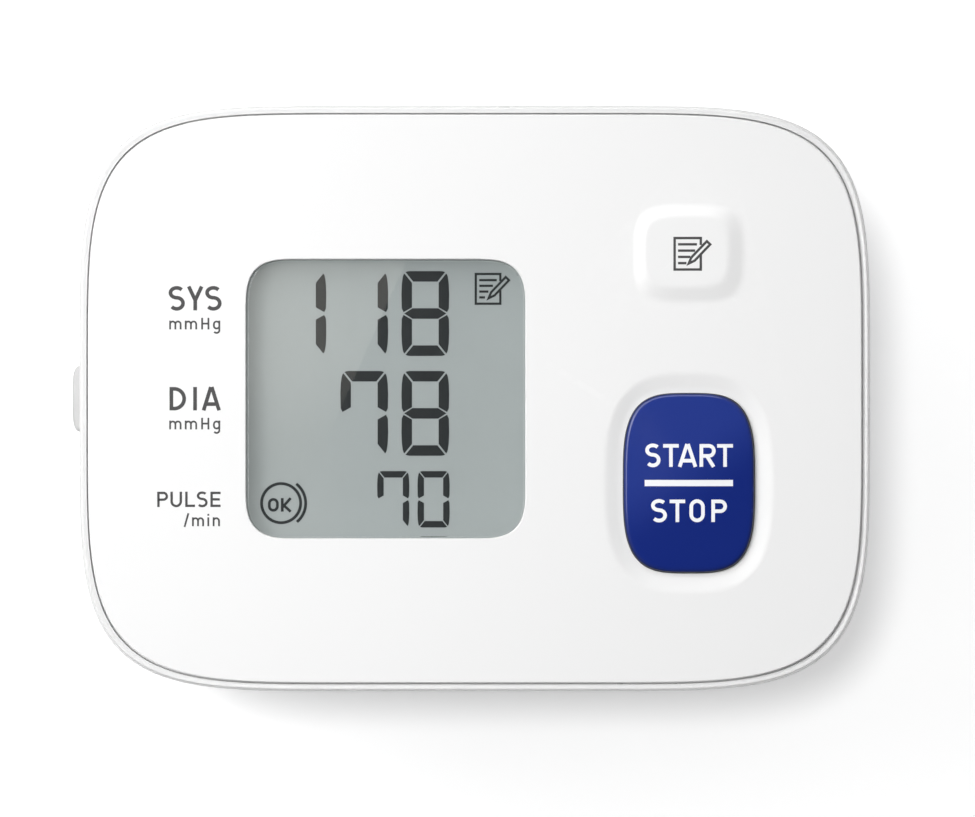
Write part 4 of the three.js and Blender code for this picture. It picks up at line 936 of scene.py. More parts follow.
# %% Edge tape and stitches
def strip_outline(start, end, half, radius, step=1.0):
    """Closed rounded rectangle in (station, y), with its outward normals, at about even steps."""
    quarter = np.linspace(0, np.pi / 2, 9)
    low, high = np.array([start + radius, half - radius]), np.array([end - radius, half - radius])
    runs, normals = [], []
    for number, place in enumerate((high, low, low * (1, -1), high * (1, -1))):
        turn = quarter + number * np.pi / 2
        normal = np.column_stack([np.cos(turn), np.sin(turn)])
        runs.append(place + radius * normal)
        normals.append(normal)
    points, sides = [], []
    for number in range(4):
        points.append(runs[number])
        sides.append(normals[number])
        here, there = runs[number][-1], runs[(number + 1) % 4][0]
        count = max(int(np.hypot(*(there - here)) / step), 2)
        share = np.linspace(0, 1, count + 1)[1:-1, None]
        points.append(here + (there - here) * share)
        sides.append(np.repeat(normals[number][-1:], len(share), axis=0))
    return np.vstack(points), np.vstack(sides)


def ring_sweep(name, path, normals, profile):
    """A closed profile of (out, up, share of the cover's height) carried round a closed flat path."""
    out, up, of_top = np.asarray(profile, float).T
    station = path[:, :1] + normals[:, :1] * out
    y = path[:, 1:] + normals[:, 1:] * out
    offset = up + of_top * cover_top(station)
    rows = bent(station, y, offset)
    count, around = rows.shape[:2]
    index = np.arange(count * around).reshape(count, around)
    after, beside = np.roll(index, -1, axis=0), np.roll(index, -1, axis=1)
    quads = np.stack([index, after, np.roll(after, -1, axis=1), beside], axis=-1).reshape(-1, 4)
    piece = make_mesh(name, rows.reshape(-1, 3), quads.tolist())
    walked, girth = (
        np.concatenate([[0], np.cumsum(np.hypot(*(np.roll(line, -1, axis=0) - line).T))])
        for line in (path, np.column_stack([out, up + 5 * of_top]))
    )
    here = np.meshgrid(walked[:-1], girth[:-1], indexing="ij")
    there = np.meshgrid(walked[1:], girth[1:], indexing="ij")
    flat = [(here[0], here[1]), (there[0], here[1]), (there[0], there[1]), (here[0], there[1])]
    lay_flat(piece, np.stack([np.stack(pair, axis=-1) for pair in flat], axis=2))
    return piece


band_path, band_normals = strip_outline(BAND_START, BAND_END, HALF_WIDTH, CORNER)
tape_profile = [
    (-3.0, -TAPE, 1), (-3.06, -0.18, 1), (-2.95, -0.03, 1), (-2.6, 0.02, 1), (-1.2, 0.02, 1), (0.3, -0.02, 1),
    (0.75, -0.2, 1), (1.0, -0.6, 1), (1.1, -0.4, 0.75), (1.1, 0, 0.5), (1.1, 0.4, 0.25), (1.0, 0.6, 0),
    (0.75, 0.2, 0), (0.3, 0.02, 0), (-1.2, -0.02, 0), (-2.6, -0.02, 0), (-2.95, 0.03, 0), (-3.06, 0.18, 0),
    (-3.0, TAPE, 0), (0.05, TAPE, 0), (0.2, 0.5, 0), (0.22, 0, 0.5), (0.2, -0.5, 1), (0.05, -TAPE, 1),
]
cuff_binding = ring_sweep("cuff_edge_tape", band_path, band_normals, tape_profile)
finish_surface(cuff_binding, 60)


def seam_along(start, end, half, inset, radius=1.2):
    """The closed path of a seam that runs round a strip, inset from its edge."""
    return strip_outline(start + inset, end - inset, half - inset, radius)[0]


def stitches(name, path, heights, pitch=2.7, length=1.9, thread=0.15):
    """Threads along a closed flat path: each is a spindle of 6 by 5 points, bent with the cloth.
    heights(station, l) gives the offset of the thread's middle at a share l of its length."""
    leg = np.roll(path, -1, axis=0) - path
    walked = np.concatenate([[0], np.cumsum(np.hypot(*leg.T))])
    closed = np.vstack([path, path[:1]])
    count = int(walked[-1] / pitch)
    along = (np.arange(count) + 0.5) * walked[-1] / count
    shares = np.array([-0.5, -0.36, 0, 0.36, 0.5])
    girth = np.array([0.15, 0.8, 1, 0.8, 0.15]) * thread
    turn = np.linspace(0, 2 * np.pi, 6, endpoint=False)
    place = (along[:, None] + shares * length) % walked[-1]
    station = np.interp(place, walked, closed[:, 0])
    y = np.interp(place, walked, closed[:, 1])
    ends = np.diff(np.stack([station[:, [0, -1]], y[:, [0, -1]]], axis=-1), axis=1)[:, 0]
    ends = ends / np.hypot(*ends.T)[:, None]
    side = np.column_stack([ends[:, 1], -ends[:, 0]])
    wide = girth[:, None] * np.cos(turn)
    high = girth[:, None] * np.sin(turn)
    s = station[:, :, None] + side[:, 0, None, None] * wide
    w = y[:, :, None] + side[:, 1, None, None] * wide
    o = heights(station, shares)[:, :, None] + high
    return joined(name, map(loft, bent(s, w, o)))


seam_path = seam_along(BAND_START, BAND_END, HALF_WIDTH, SEAM_INSET)
outer_seam = stitches("cuff_seam_outside", seam_path, lambda s, l: cover_top(s) + 0.05 - 0.5 * l**2)
inner_seam = stitches("cuff_seam_inside", seam_path, lambda s, l: 0.5 * l**2 - 0.05 + 0 * s)
for seam in (outer_seam, inner_seam):
    finish_surface(seam, 70)
    seat(seam, "housing", "binding_tape")

seat(cuff_cover, "housing", "cuff_cloth", "cuff_cover")
seat(cuff_lining, "housing", "lining_cloth", "cuff_lining")
seat(cuff_binding, "housing", "binding_tape", "cuff_binding")

# %% [markdown]
# ## Tail and hook patch
# The outer end of the band closes over the right arch. It is a thicker, foam-backed strip with rounded
# corners, seamed round its edge, and the hook patch is sewn to its inner side. Towards both ends its
# thickness falls as a quarter circle. Along the seam the foam is pulled in: a groove of depth
# 0.35 * exp(-(d / 0.7) ** 2).

# %% Tail and hook patch
TAIL = dict(inner=4.7, thick=2.0, half=23.5, corner=6.0, seam=2.6)
root_turn = (6.3 + 0.3 + 0.8) / ARCH_RADIUS
hinge_turn = root_turn + 1.3 / (ARCH_RADIUS + 5.7)
TAIL_ROOT = -ARCH_RADIUS * hinge_turn + 0.76
TAIL_TIP = -ARCH_RADIUS * 0.77 * math.pi - 0.76


def padded_strip(name, start, end, half, corner, inner, thick, seam, groove, around=28):
    """Foam strip. Its section is a loop whose thickness is full in the middle and falls to the edge as a
    quarter circle of the half thickness, less the seam's groove on the outer side."""
    along = strip_stations(start, end, 0.9, corner)
    width = rounded_half(along, start, end, half, corner)[:, None]
    bend = np.linspace(0, np.pi / 2, 6)[:-1]
    edge = np.concatenate([thick / 2 * (1 - np.cos(bend)), np.linspace(thick / 2, half, around)])
    reach = np.concatenate([edge, (2 * half - edge)[::-1][1:]])
    y = (reach - half) / half * width
    distance = np.minimum(width - np.abs(y), np.minimum(along - start, end - along)[:, None])
    near = np.clip(distance / (thick / 2), 0, 1)
    half_thick = thick / 2 * np.sqrt(1 - (1 - near) ** 2) + 0.04
    pulled = groove * np.exp(-(((distance - seam) / 0.7) ** 2))
    middle = inner + thick / 2
    outside = middle + half_thick - pulled
    inside = middle - half_thick
    return band_skin(name, along, y, outside, inside)


cuff_tail = padded_strip(
    "cuff_tail_cloth", TAIL_TIP, TAIL_ROOT, TAIL["half"], TAIL["corner"], TAIL["inner"] + 0.04,
    TAIL["thick"] - 0.08, TAIL["seam"], 0.3,
)
finish_surface(cuff_tail, 60)
seat(cuff_tail, "tail", "cuff_cloth", "cuff_tail")

PATCH_HALF, PATCH_SEAM = 20, 1.6
patch_from, patch_to = (-ARCH_RADIUS * share * math.pi for share in (0.74, 0.33))
hook_patch = padded_strip("hook_patch_tape", patch_from, patch_to, PATCH_HALF, 2.5, 3.8, 0.56, 1.4, 0.0, 20)
finish_surface(hook_patch, 60)
seat(hook_patch, "tail", "hook_tape", "hook_patch")

tail_top = TAIL["inner"] + TAIL["thick"]
seam_path = seam_along(TAIL_TIP, TAIL_ROOT, TAIL["half"], TAIL["seam"], TAIL["corner"] - TAIL["seam"])
tail_seam = stitches("tail_seam", seam_path, lambda s, l: tail_top - 0.22 - 0.5 * l**2 + 0 * s)
seam_path = seam_along(patch_from, patch_to, PATCH_HALF, PATCH_SEAM)
patch_seam = stitches("patch_seam", seam_path, lambda s, l: tail_top + 0.03 - 0.5 * l**2 + 0 * s)
for seam in (tail_seam, patch_seam):
    finish_surface(seam, 70)
    seat(seam, "tail", "binding_tape")

# %% [markdown]
# ## The fold at the tail's root
# On the real cuff the cloth runs on from the band into the tail. The model turns the tail about one hinge
# line, so a short strip of cloth bridges it: it follows the band at one end and the tail at the other.

# %% Root cloth
root_from, root_to = -14.6, -3.6
along = np.linspace(root_from, root_to, 34)
rise = smooth((root_to - 1.2 - along) / 4.2)
under = (5.68 + (6.72 - 5.68) * rise)[:, None]
y = np.linspace(-1, 1, 50) * rounded_half(along, root_from, root_to, 22.4, 1.2)[:, None]
thin = 0.1 + 0.36 * smooth(np.minimum(along - root_from, root_to - along)[:, None] / 0.8)
root_cloth = band_skin("tail_root_cloth", along, y, under + thin, under)
finish_surface(root_cloth, 60)
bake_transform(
    root_cloth, "tail", "housing",
    start=to_frame(bent(-10.6, 0, 5.7)), end=to_frame(bent(-6.2, 0, 5.7)),
)
seat(root_cloth, "tail", "cuff_cloth")

# %% [markdown]
# ## Air bladder
# The bladder is two vinyl films welded along their edge. It lies flat in the cuff, a little fuller in its
# middle, with the weld as a thin margin, and it has a pocket where the nipple's flange sits.

# %% Air bladder
bladder_from, bladder_to = BAND_START + 1.3, BLADDER_LAST - 9 * 0.8 / 2.1
along = strip_stations(bladder_from, bladder_to, 1.2, 3)
width = rounded_half(along, bladder_from, bladder_to, 20.4, 3)[:, None]
y = across(56) * width
distance = np.minimum(width - np.abs(y), np.minimum(along - bladder_from, bladder_to - along)[:, None])
room = (lift(along) - 0.3)[:, None]
fill = 0.35 + 0.65 * smooth((distance - 3) / 5)
bladder_top = 1.22 + np.maximum(room - 0.04, 0.3) * fill
air_bladder = band_skin("air_bladder_film", along, y, bladder_top, 1.22)
pocket_bottom = ARCH_Z + ARCH_RADIUS + 3.0 - 0.8 - 0.3 - BACK_Z
carve(air_bladder, [rod_tool(*NIPPLE, 3.2, pocket_bottom, pocket_bottom + 4)])
finish_surface(air_bladder, 50)
seat(air_bladder, "housing", "bladder_vinyl", "air_bladder")

# %% [markdown]
# ## Building with nodes
# The studio and all finishes are node trees. `put` places a node and links or sets its inputs, and `calc`
# does the same for a sum, so that a tree reads like the formula that it stands for.

# %% Node helpers
FINISHES = {}


def put(tree, kind, inputs=(), **settings):
    """A node of a kind: settings are its options, inputs are numbers to set or sockets to link."""
    node = tree.nodes.new("ShaderNode" + kind)
    for option, value in settings.items():
        setattr(node, option, value)
    return fill(tree, node, inputs)


def fill(tree, node, inputs):
    """Sets the inputs of a node to numbers, or links sockets to them."""
    for name, value in dict(inputs).items():
        if isinstance(value, bpy.types.NodeSocket):
            tree.links.new(value, node.inputs[name])
        else:
            node.inputs[name].default_value = value
    return node


def calc(tree, operation, *values):
    """The result of one Math node."""
    return put(tree, "Math", enumerate(values), operation=operation).outputs[0]


def one_over(tree, size):
    """1 / size: how many cells of a pattern lie in a millimetre."""
    return calc(tree, "DIVIDE", 1.0, size)


def axis_of(tree, vector, letter):
    """One coordinate of a vector: X, Y or Z."""
    return put(tree, "SeparateXYZ", {0: vector}).outputs[letter]


def stretched(tree, vector, factors):
    """A vector with each coordinate times its own factor."""
    return put(tree, "VectorMath", {0: vector, 1: factors}, operation="MULTIPLY").outputs[0]


def scaled(tree, vector, factor):
    """A vector times a number or a socket."""
    return put(tree, "VectorMath", {0: vector, "Scale": factor}, operation="SCALE").outputs[0]


def spread(tree, value, low, high, to_low=0.0, to_high=1.0, kind="SMOOTHSTEP"):
    """A value's range from low to high, brought to another range."""
    ranges = {"Value": value, "From Min": low, "From Max": high, "To Min": to_low, "To Max": to_high}
    return put(tree, "MapRange", ranges, interpolation_type=kind).outputs[0]


def drifting(tree, tone, lowest, highest):
    """A roughness that a tone between 0 and 1 moves from its lowest to its highest value."""
    return spread(tree, tone, 0.0, 1.0, lowest, highest, "LINEAR")


def blended(tree, factor, first, second):
    """Colour between two, each a triple or a socket."""
    first, second = (c if isinstance(c, bpy.types.NodeSocket) else (*c, 1) for c in (first, second))
    return put(tree, "Mix", {"Factor": factor, 6: first, 7: second}, data_type="RGBA").outputs[2]


def new_finish(name, bare=False):
    """The tree of a new material, which is kept in FINISHES. A bare one has no nodes yet."""
    FINISHES[name] = material = bpy.data.materials.new(name)
    material.use_nodes = True
    if bare:
        material.node_tree.nodes.clear()
    return material.node_tree


def complete(tree, colour, roughness, height, depth, **more):
    """Sets the tree's shader: its colour, its roughness, a bump of so many millimetres and the rest."""
    bump = put(tree, "Bump", {"Height": height, "Distance": depth * MM, "Strength": 1.0}).outputs[0]
    named = {name.replace("_", " "): value for name, value in more.items()}
    inputs = {"Base Color": colour, "Roughness": roughness, "Normal": bump, **named}
    fill(tree, tree.nodes["Principled BSDF"], inputs)


print("node helpers ready")

# %% [markdown]
# ## Camera and light
# The photograph looks straight down from far away. The lens is long, and the camera is set a little right of
# the unit and below it, where the photograph's middle lies. One far lamp, almost overhead, gives the short
# soft shadow on the right and below. A lamp at the left shades the face, and two wide ones give the edges
# their gleam. The world is bright at mid height, darker overhead and at the horizon, and brighter towards
# the upper left: it is multiplied by 1 + the product of the direction and a vector that points there.

# %% Camera and light
CAMERA_OVER = 0.9
PHOTO_SIZE = (975, 817)
UPPER_LEFT = (-0.57, 0.74, 0)
ZENITH_FADE = (0.93, 0.74, 0.1, 0.4)
HORIZON_FADE = (0.5, 0.0, 1, 0.45)

face_z = (BACK_Z + FACE) * MM
camera_data = bpy.data.cameras.new("camera")
camera_data.sensor_width = 36
camera_data.lens = camera_data.sensor_width * CAMERA_OVER / (PHOTO_SIZE[0] / PHOTO_SCALE * MM)
camera_data.clip_end = 10
camera = bpy.data.objects.new("camera", camera_data)
photo_x, photo_y = from_photo(PHOTO_SIZE[0] / 2, PHOTO_SIZE[1] / 2)
camera.location = (photo_x * MM, photo_y * MM, face_z + CAMERA_OVER)
scene.collection.objects.link(camera)
scene.camera = camera
scene.view_settings.view_transform = "Standard"

scene.world = bpy.data.worlds.new("studio")
scene.world.use_nodes = True
tree = scene.world.node_tree
direction = put(tree, "TexCoord").outputs["Generated"]
leaning = put(tree, "VectorMath", {0: direction, 1: UPPER_LEFT}, operation="DOT_PRODUCT").outputs["Value"]
level = calc(tree, "ADD", leaning, 1.0)
for fade in (ZENITH_FADE, HORIZON_FADE):
    level = calc(tree, "MULTIPLY", spread(tree, axis_of(tree, direction, "Z"), *fade), level)
fill(tree, tree.nodes["Background"], {"Color": (1, 1, 1, 1), "Strength": level})


def add_lamp(name, kind, place, energy, size):
    """A lamp that shines at the middle of the face, at a place given in metres from there."""
    data = bpy.data.lights.new(name, kind)
    data.energy = energy
    if kind == "SUN":
        data.angle = size
    elif isinstance(size, tuple):
        data.shape, data.size, data.size_y = "RECTANGLE", *size
    else:
        data.shape, data.size = "DISK", size
    lamp = bpy.data.objects.new(name, data)
    lamp.location = (place[0], place[1], place[2] + face_z)
    lamp.rotation_euler = (-Vector(place)).to_track_quat("-Z", "Y").to_euler()
    lamp.visible_camera = False
    scene.collection.objects.link(lamp)
    return lamp


overhead_lamp = add_lamp("overhead_lamp", "SUN", (-0.0799, 0.065, 1), 1.16, math.radians(5))
side_lamp = add_lamp("side_lamp", "AREA", (-0.1, 0.025, 0.17), 0.126, 0.1)
edge_lamp = add_lamp("edge_lamp", "AREA", (-0.24, 0.22, 0.3), 0.9, (0.3, 0.3))
top_lamp = add_lamp("top_lamp", "AREA", (0.0, 0.34, 0.3), 0.5, (0.24, 0.2))
overhead_lamp.visible_glossy = top_lamp.visible_diffuse = False
for lamp in (edge_lamp, top_lamp):
    lamp.visible_transmission = lamp.data.use_shadow = False
print("lens", round(camera_data.lens, 1), "mm")

# %% [markdown]
# ## The reflection in the window
# A glossy flat window mirrors what hangs above it. In the photograph its upper left part mirrors a pale panel
# whose straight lower edge runs slantwise. A card above the camera does this: a point p of the window mirrors
# the card's point p + (p - camera) * card height / camera height. Only mirror rays see the card, so it gives
# no other light, and its glow fades towards its lower end.

# %% Reflection card
CARD_OVER = 1.35
CARD_CORNERS = ((304, 490), (407, 259), (407, 215), (190, 215), (190, 490))
CARD_FADE = (478, 330)
CARD_GLOW = (1.3, 1.2, 1.08, 1)


def mirrored(x, y):
    """The place on the card's level that a photograph's pixel on the window mirrors to the camera."""
    point, eye = np.array(from_photo(x, y)) * MM, np.array(camera.location[:2])
    return (*(point + (point - eye) * CARD_OVER / CAMERA_OVER), face_z + CARD_OVER)


card_points = [mirrored(*corner) for corner in CARD_CORNERS]
card = make_mesh("reflection_card", card_points, [[0, 1, 2, 3, 4]], frame_points=True)
card.visible_camera = card.visible_diffuse = card.visible_transmission = card.visible_shadow = False
tree = new_finish("card_glow", bare=True)
upward = axis_of(tree, put(tree, "TexCoord").outputs["Object"], "Y")
fade = spread(tree, upward, *(mirrored(0, y)[1] for y in CARD_FADE))
glow = put(tree, "Emission", {"Color": CARD_GLOW, "Strength": fade})
put(tree, "OutputMaterial", {"Surface": glow.outputs[0]})
card.data.materials.append(FINISHES["card_glow"])
print("card at", round(CARD_OVER, 2), "m above the face")

# %% [markdown]
# ## Floor
# The floor is white. Its own light reaches only the camera, mirrors and the clear window, so the background
# is white without more light on the monitor, and the floor still shows the shadow.

# %% Floor
HALF_FLOOR = 3.0
FLOOR_GLOW = 0.285

floor_points = [(x * HALF_FLOOR, y * HALF_FLOOR, 0) for x, y in ((-1, -1), (1, -1), (1, 1), (-1, 1))]
floor = make_mesh("floor", floor_points, [[0, 1, 2, 3]], frame_points=True)
tree = new_finish("floor_white", bare=True)
ray = put(tree, "LightPath").outputs
seen = calc(tree, "MAXIMUM", ray["Is Camera Ray"], ray["Is Glossy Ray"])
seen = calc(tree, "MAXIMUM", seen, ray["Is Transmission Ray"])
glow = put(tree, "Emission", {"Strength": calc(tree, "MULTIPLY", seen, FLOOR_GLOW)})
diffuse = put(tree, "BsdfDiffuse", {"Color": (0.9, 0.9, 0.9, 1)})
both = put(tree, "AddShader", {0: diffuse.outputs[0], 1: glow.outputs[0]})
put(tree, "OutputMaterial", {"Surface": both.outputs[0]})
floor.data.materials.append(FINISHES["floor_white"])
print("floor", 2 * HALF_FLOOR, "m wide")

# %% [markdown]
# ## Effects of moulded and metal surfaces
# A moulded plastic is never one flat colour: its mould was spark-eroded, so it has a fine grain, the colour
# and the gloss drift a little, edges are polished by hands, and dust settles on top. Each such effect is a
# node group with its own inputs, used again in many finishes. The grain gives a height and a slow drift.
# Wear follows the pointiness of an edge, broken up by noise. Dust lies where the surface looks up. Drawn or
# turned metal has fine lines, which are noise stretched along one direction.

# %% Grain, wear, dust and drawn lines
def noise(tree, vector, cells_per_mm, detail=2.0, roughness=0.5):
    """Soft noise between 0 and 1 with about so many cells in a millimetre."""
    inputs = {"Vector": vector, "Scale": cells_per_mm, "Detail": detail, "Roughness": roughness}
    return put(tree, "TexNoise", inputs).outputs[0]


def new_group(name, place, outputs=("Height", "Tone"), **numbers):
    """An empty node group: one vector input, inputs for numbers with their values, and outputs by name."""
    tree = bpy.data.node_groups.new(name, "ShaderNodeTree")
    tree.interface.new_socket(place, in_out="INPUT", socket_type="NodeSocketVector")
    for number, value in numbers.items():
        socket = tree.interface.new_socket(number, in_out="INPUT", socket_type="NodeSocketFloat")
        socket.default_value = value
    for output in outputs:
        tree.interface.new_socket(output, in_out="OUTPUT", socket_type="NodeSocketFloat")
    given, result = tree.nodes.new("NodeGroupInput"), tree.nodes.new("NodeGroupOutput")
    return tree, result, *given.outputs[:1 + len(numbers)]


grain, result, place, size, drift = new_group("mould_grain", "Place", Size=0.12, Drift=6.0)
slow = noise(grain, place, one_over(grain, drift))
tone = spread(grain, slow, 0.2, 0.8, kind="LINEAR")
fill(grain, result, {"Height": noise(grain, place, one_over(grain, size)), "Tone": tone})

wear, result, place, amount = new_group("edge_wear", "Place", ["Mask"], Amount=0.5)
ridge = spread(wear, put(wear, "NewGeometry").outputs["Pointiness"], 0.53, 0.62)
patches = spread(wear, noise(wear, place, 0.8, 4), 0.35, 0.65)
fill(wear, result, {"Mask": calc(wear, "MULTIPLY", calc(wear, "MULTIPLY", ridge, patches), amount)})

dust, result, place, amount = new_group("settled_dust", "Place", ["Mask"], Amount=0.3)
facing = axis_of(dust, put(dust, "NewGeometry").outputs["Normal"], "Z")
specks = spread(dust, noise(dust, place, 0.5, 6, 0.7), 0.45, 0.8)
lying = calc(dust, "MULTIPLY", spread(dust, facing, 0.2, 0.95), specks)
fill(dust, result, {"Mask": calc(dust, "MULTIPLY", lying, amount)})

lines, result, place, fineness = new_group("drawn_lines", "Place", Fineness=12.0)
height = noise(lines, stretched(lines, place, (0.04, 1.0, 1.0)), fineness, 3)
fill(lines, result, {"Height": height, "Tone": spread(lines, noise(lines, place, 0.4), 0.3, 0.7)})
print("groups:", [tree.name for tree in (grain, wear, dust, lines)])

# %% [markdown]
# ## Effects of cloth
# Cloth patterns follow the flat cut, so they read the `flat_mm` map, whose x runs across the band and y along
# it. A plain weave: with u and v in thread pitches, a warp thread's round top is sin(pi * frac(u)), and it
# dives under every other weft as 0.5 + 0.5 * cos(pi * (v + floor(u))). The weft is the same with u and v
# changed, and a half turn later. The higher thread wins. Hooks stand in rows, each row shifted by half a step
# against the last.

# %% Weave, pile, ribs and hooks
def round_top(tree, way):
    """sin(pi * frac(way)): one round top in each step."""
    return calc(tree, "SINE", calc(tree, "MULTIPLY", calc(tree, "FRACT", way), math.pi))


def thread(tree, along, across_it, phase):
    """Height of one family of threads of a plain weave: see the formula above."""
    turn = calc(tree, "MULTIPLY", calc(tree, "ADD", along, calc(tree, "FLOOR", across_it)), math.pi)
    dive = calc(tree, "MULTIPLY_ADD", calc(tree, "COSINE", calc(tree, "ADD", turn, phase)), 0.5, 0.5)
    return calc(tree, "MULTIPLY", round_top(tree, across_it), dive)


weave, result, flat, pitch = new_group("plain_weave", "Flat", Pitch=0.4)
steps = put(weave, "SeparateXYZ", {0: scaled(weave, flat, one_over(weave, pitch))}).outputs
warp, weft = thread(weave, steps["Y"], steps["X"], 0.0), thread(weave, steps["X"], steps["Y"], math.pi)
slubs = noise(weave, stretched(weave, flat, (0.3, 2.5, 1)), 1.2)
fill(weave, result, {"Height": calc(weave, "MAXIMUM", warp, weft), "Tone": spread(weave, slubs, 0.25, 0.75)})

pile, result, flat, loop = new_group("loop_pile", "Flat", Loop=0.45)
swirl = scaled(pile, put(pile, "TexNoise", {"Vector": flat, "Scale": 1.6}).outputs[1], 0.5)
swirl = put(pile, "VectorMath", {0: flat, 1: swirl}, operation="ADD").outputs[0]
cells = {"Vector": swirl, "Scale": one_over(pile, loop)}
loops = put(pile, "TexVoronoi", cells, feature="SMOOTH_F1").outputs["Distance"]
fibres = noise(pile, swirl, 7.0, 3, 0.7)
height = calc(pile, "MULTIPLY_ADD", loops, -1.0, calc(pile, "MULTIPLY_ADD", fibres, 0.5, 0.8))
clouds = calc(pile, "MULTIPLY_ADD", fibres, 0.45, noise(pile, flat, 0.14, 4, 0.6))
fill(pile, result, {"Height": height, "Tone": spread(pile, clouds, 0.4, 0.95)})

ribbed, result, flat, pitch = new_group("cross_ribs", "Flat", Pitch=0.5)
walk = calc(ribbed, "MULTIPLY", calc(ribbed, "DIVIDE", axis_of(ribbed, flat, "X"), pitch), math.pi)
height = calc(ribbed, "ABSOLUTE", calc(ribbed, "SINE", walk))
fill(ribbed, result, {"Height": height, "Tone": spread(ribbed, noise(ribbed, flat, 1.5, 4), 0.3, 0.7)})

hooks, result, flat, pitch = new_group("hook_rows", "Flat", Pitch=1.1)
steps = put(hooks, "SeparateXYZ", {0: scaled(hooks, flat, one_over(hooks, pitch))}).outputs
shift = calc(hooks, "MULTIPLY", calc(hooks, "MODULO", calc(hooks, "FLOOR", steps["Y"]), 2.0), 0.5)
bumps = [round_top(hooks, way) for way in (calc(hooks, "ADD", steps["X"], shift), steps["Y"])]
height = spread(hooks, calc(hooks, "MULTIPLY", *bumps), 0.35, 0.8)
fill(hooks, result, {"Height": height, "Tone": spread(hooks, noise(hooks, flat, 0.6, 3), 0.3, 0.7)})
print("groups:", [tree.name for tree in (weave, pile, ribbed, hooks)])

# %% [markdown]
# ## Plastics and rubbers
# All plain mouldings share one recipe: two close shades drift into each other, the grain is a bump of a few
# thousandths of a millimetre, worn edges are a little lighter and glossier, and dust makes the top a little
# duller. What differs is the row of numbers.

# %% Plastics and rubbers
def use(tree, group, **values):
    """The outputs of a node group placed in a material, with its inputs set or linked."""
    return put(tree, "Group", values, node_tree=group).outputs


def place_mm(tree):
    """The piece's own coordinates, in millimetres."""
    return scaled(tree, put(tree, "TexCoord").outputs["Object"], 1 / MM)


def moulded(name, light, dark, rough, grain_size, depth, drift=6.0, worn=0.4, dusty=0.15, **more):
    """One moulding's finish. rough is its (lowest, highest) roughness."""
    tree = new_finish(name)
    place = place_mm(tree)
    texture = use(tree, grain, Place=place, Size=grain_size, Drift=drift)
    edges = use(tree, wear, Place=place, Amount=worn)["Mask"]
    film = use(tree, dust, Place=place, Amount=dusty)["Mask"]
    body = blended(tree, texture["Tone"], light, dark)
    body = blended(tree, edges, body, tuple(min(value * 1.06 + 0.004, 0.95) for value in light))
    body = blended(tree, film, body, tuple(value * 0.9 + 0.04 for value in light))
    gloss = calc(tree, "MULTIPLY_ADD", film, 0.25, drifting(tree, texture["Tone"], *rough))
    gloss = calc(tree, "MULTIPLY_ADD", edges, -0.08, gloss)
    complete(tree, body, gloss, texture["Height"], depth, **more)


def even(value):
    """A grey."""
    return (value, value, value)


moulded(
    "case_white", even(0.76), even(0.754), (0.27, 0.29), 0.16, 0.002, 14, 0.12, 0.02,
    Specular_IOR_Level=0.8,
)
moulded("face_white", even(0.796), even(0.788), (0.43, 0.46), 0.12, 0.0022, 14, 0.3, 0.04)
# painted shade: the tab is the case's white plastic, and this darker grey paints its shade
moulded("tab_painted_shade", even(0.5), even(0.48), (0.4, 0.46), 0.1, 0.003, 6, 0.3, 0.1)
moulded("dark_plastic", even(0.034), even(0.026), (0.42, 0.55), 0.2, 0.006, 4)
moulded("inner_grey", (0.7, 0.7, 0.69), (0.64, 0.64, 0.63), (0.42, 0.55), 0.25, 0.006, 5)
moulded("curl_plastic", (0.62, 0.63, 0.65), (0.56, 0.57, 0.59), (0.4, 0.5), 0.3, 0.006, 10)
moulded("contact_rubber", (0.045, 0.045, 0.05), even(0.034), (0.62, 0.75), 0.09, 0.006, 3, 0.2, 0.3)
moulded(
    "bladder_vinyl", (0.32, 0.34, 0.36), (0.27, 0.29, 0.31), (0.45, 0.6), 0.5, 0.02, 8, 0.2, 0.2,
    Coat_Weight=0.15,
)
moulded(
    "tube_silicone", (0.78, 0.79, 0.76), (0.7, 0.71, 0.68), (0.32, 0.45), 0.3, 0.004, 3, 0.1, 0.2,
    Subsurface_Weight=0.25, Subsurface_Scale=0.001,
)
print("finishes so far:", len(FINISHES))

# %% [markdown]
# ## The large key
# The key's blue is deep and glossy. Painted light and shade run aslant over it, 0.6 * x - y, from a lighter
# blue at the upper left, where the key leans towards the light, to a darker one below. Its rounded edge gets
# painted shade that deepens as its height falls, and the side under it is duller. It has no spark grain, only
# the faint waves of polished moulding.

# %% Key blue
SLANT = 0.6
KEY_MIDDLE_X = 22.8
KEY_PAINTED_LIGHT_FADE = (440, 516)

tree = new_finish("button_blue")
place = place_mm(tree)
falling = calc(tree, "MULTIPLY", axis_of(tree, place, "Y"), -1.0)
slant = calc(tree, "MULTIPLY_ADD", axis_of(tree, place, "X"), SLANT, falling)
# painted light and shade: the blue is lighter towards the upper left and darker below
painted_light_end, painted_shade_end = (SLANT * KEY_MIDDLE_X - from_photo(0, y)[1] for y in KEY_PAINTED_LIGHT_FADE)
blue = blended(tree, spread(tree, slant, painted_light_end, painted_shade_end), (0.015, 0.0348, 0.227), (0.005, 0.0186, 0.174))
level = calc(tree, "SUBTRACT", axis_of(tree, place, "Z"), BACK_Z)
# painted shade: the rounded edge and the side darken as their height falls
side = spread(tree, level, KEY_SIDE_TOP + KEY_EDGE + 0.06, KEY_SIDE_TOP + 0.2)
blue = blended(tree, side, blue, (0.002, 0.006, 0.03))
waves = use(tree, grain, Place=place, Size=1.1, Drift=5.0)
edges = use(tree, wear, Place=place, Amount=0.25)["Mask"]
blue = blended(tree, edges, blue, (0.03, 0.055, 0.3))
dull = spread(tree, level, KEY_SIDE_TOP + 0.34, KEY_SIDE_TOP + 0.12, 0, 0.4)
gloss = calc(tree, "ADD", drifting(tree, waves["Tone"], 0.14, 0.19), dull)
complete(tree, blue, gloss, waves["Height"], 0.0012)
print("key blue darkens from", round(painted_light_end, 1), "to", round(painted_shade_end, 1), "mm along the slant")

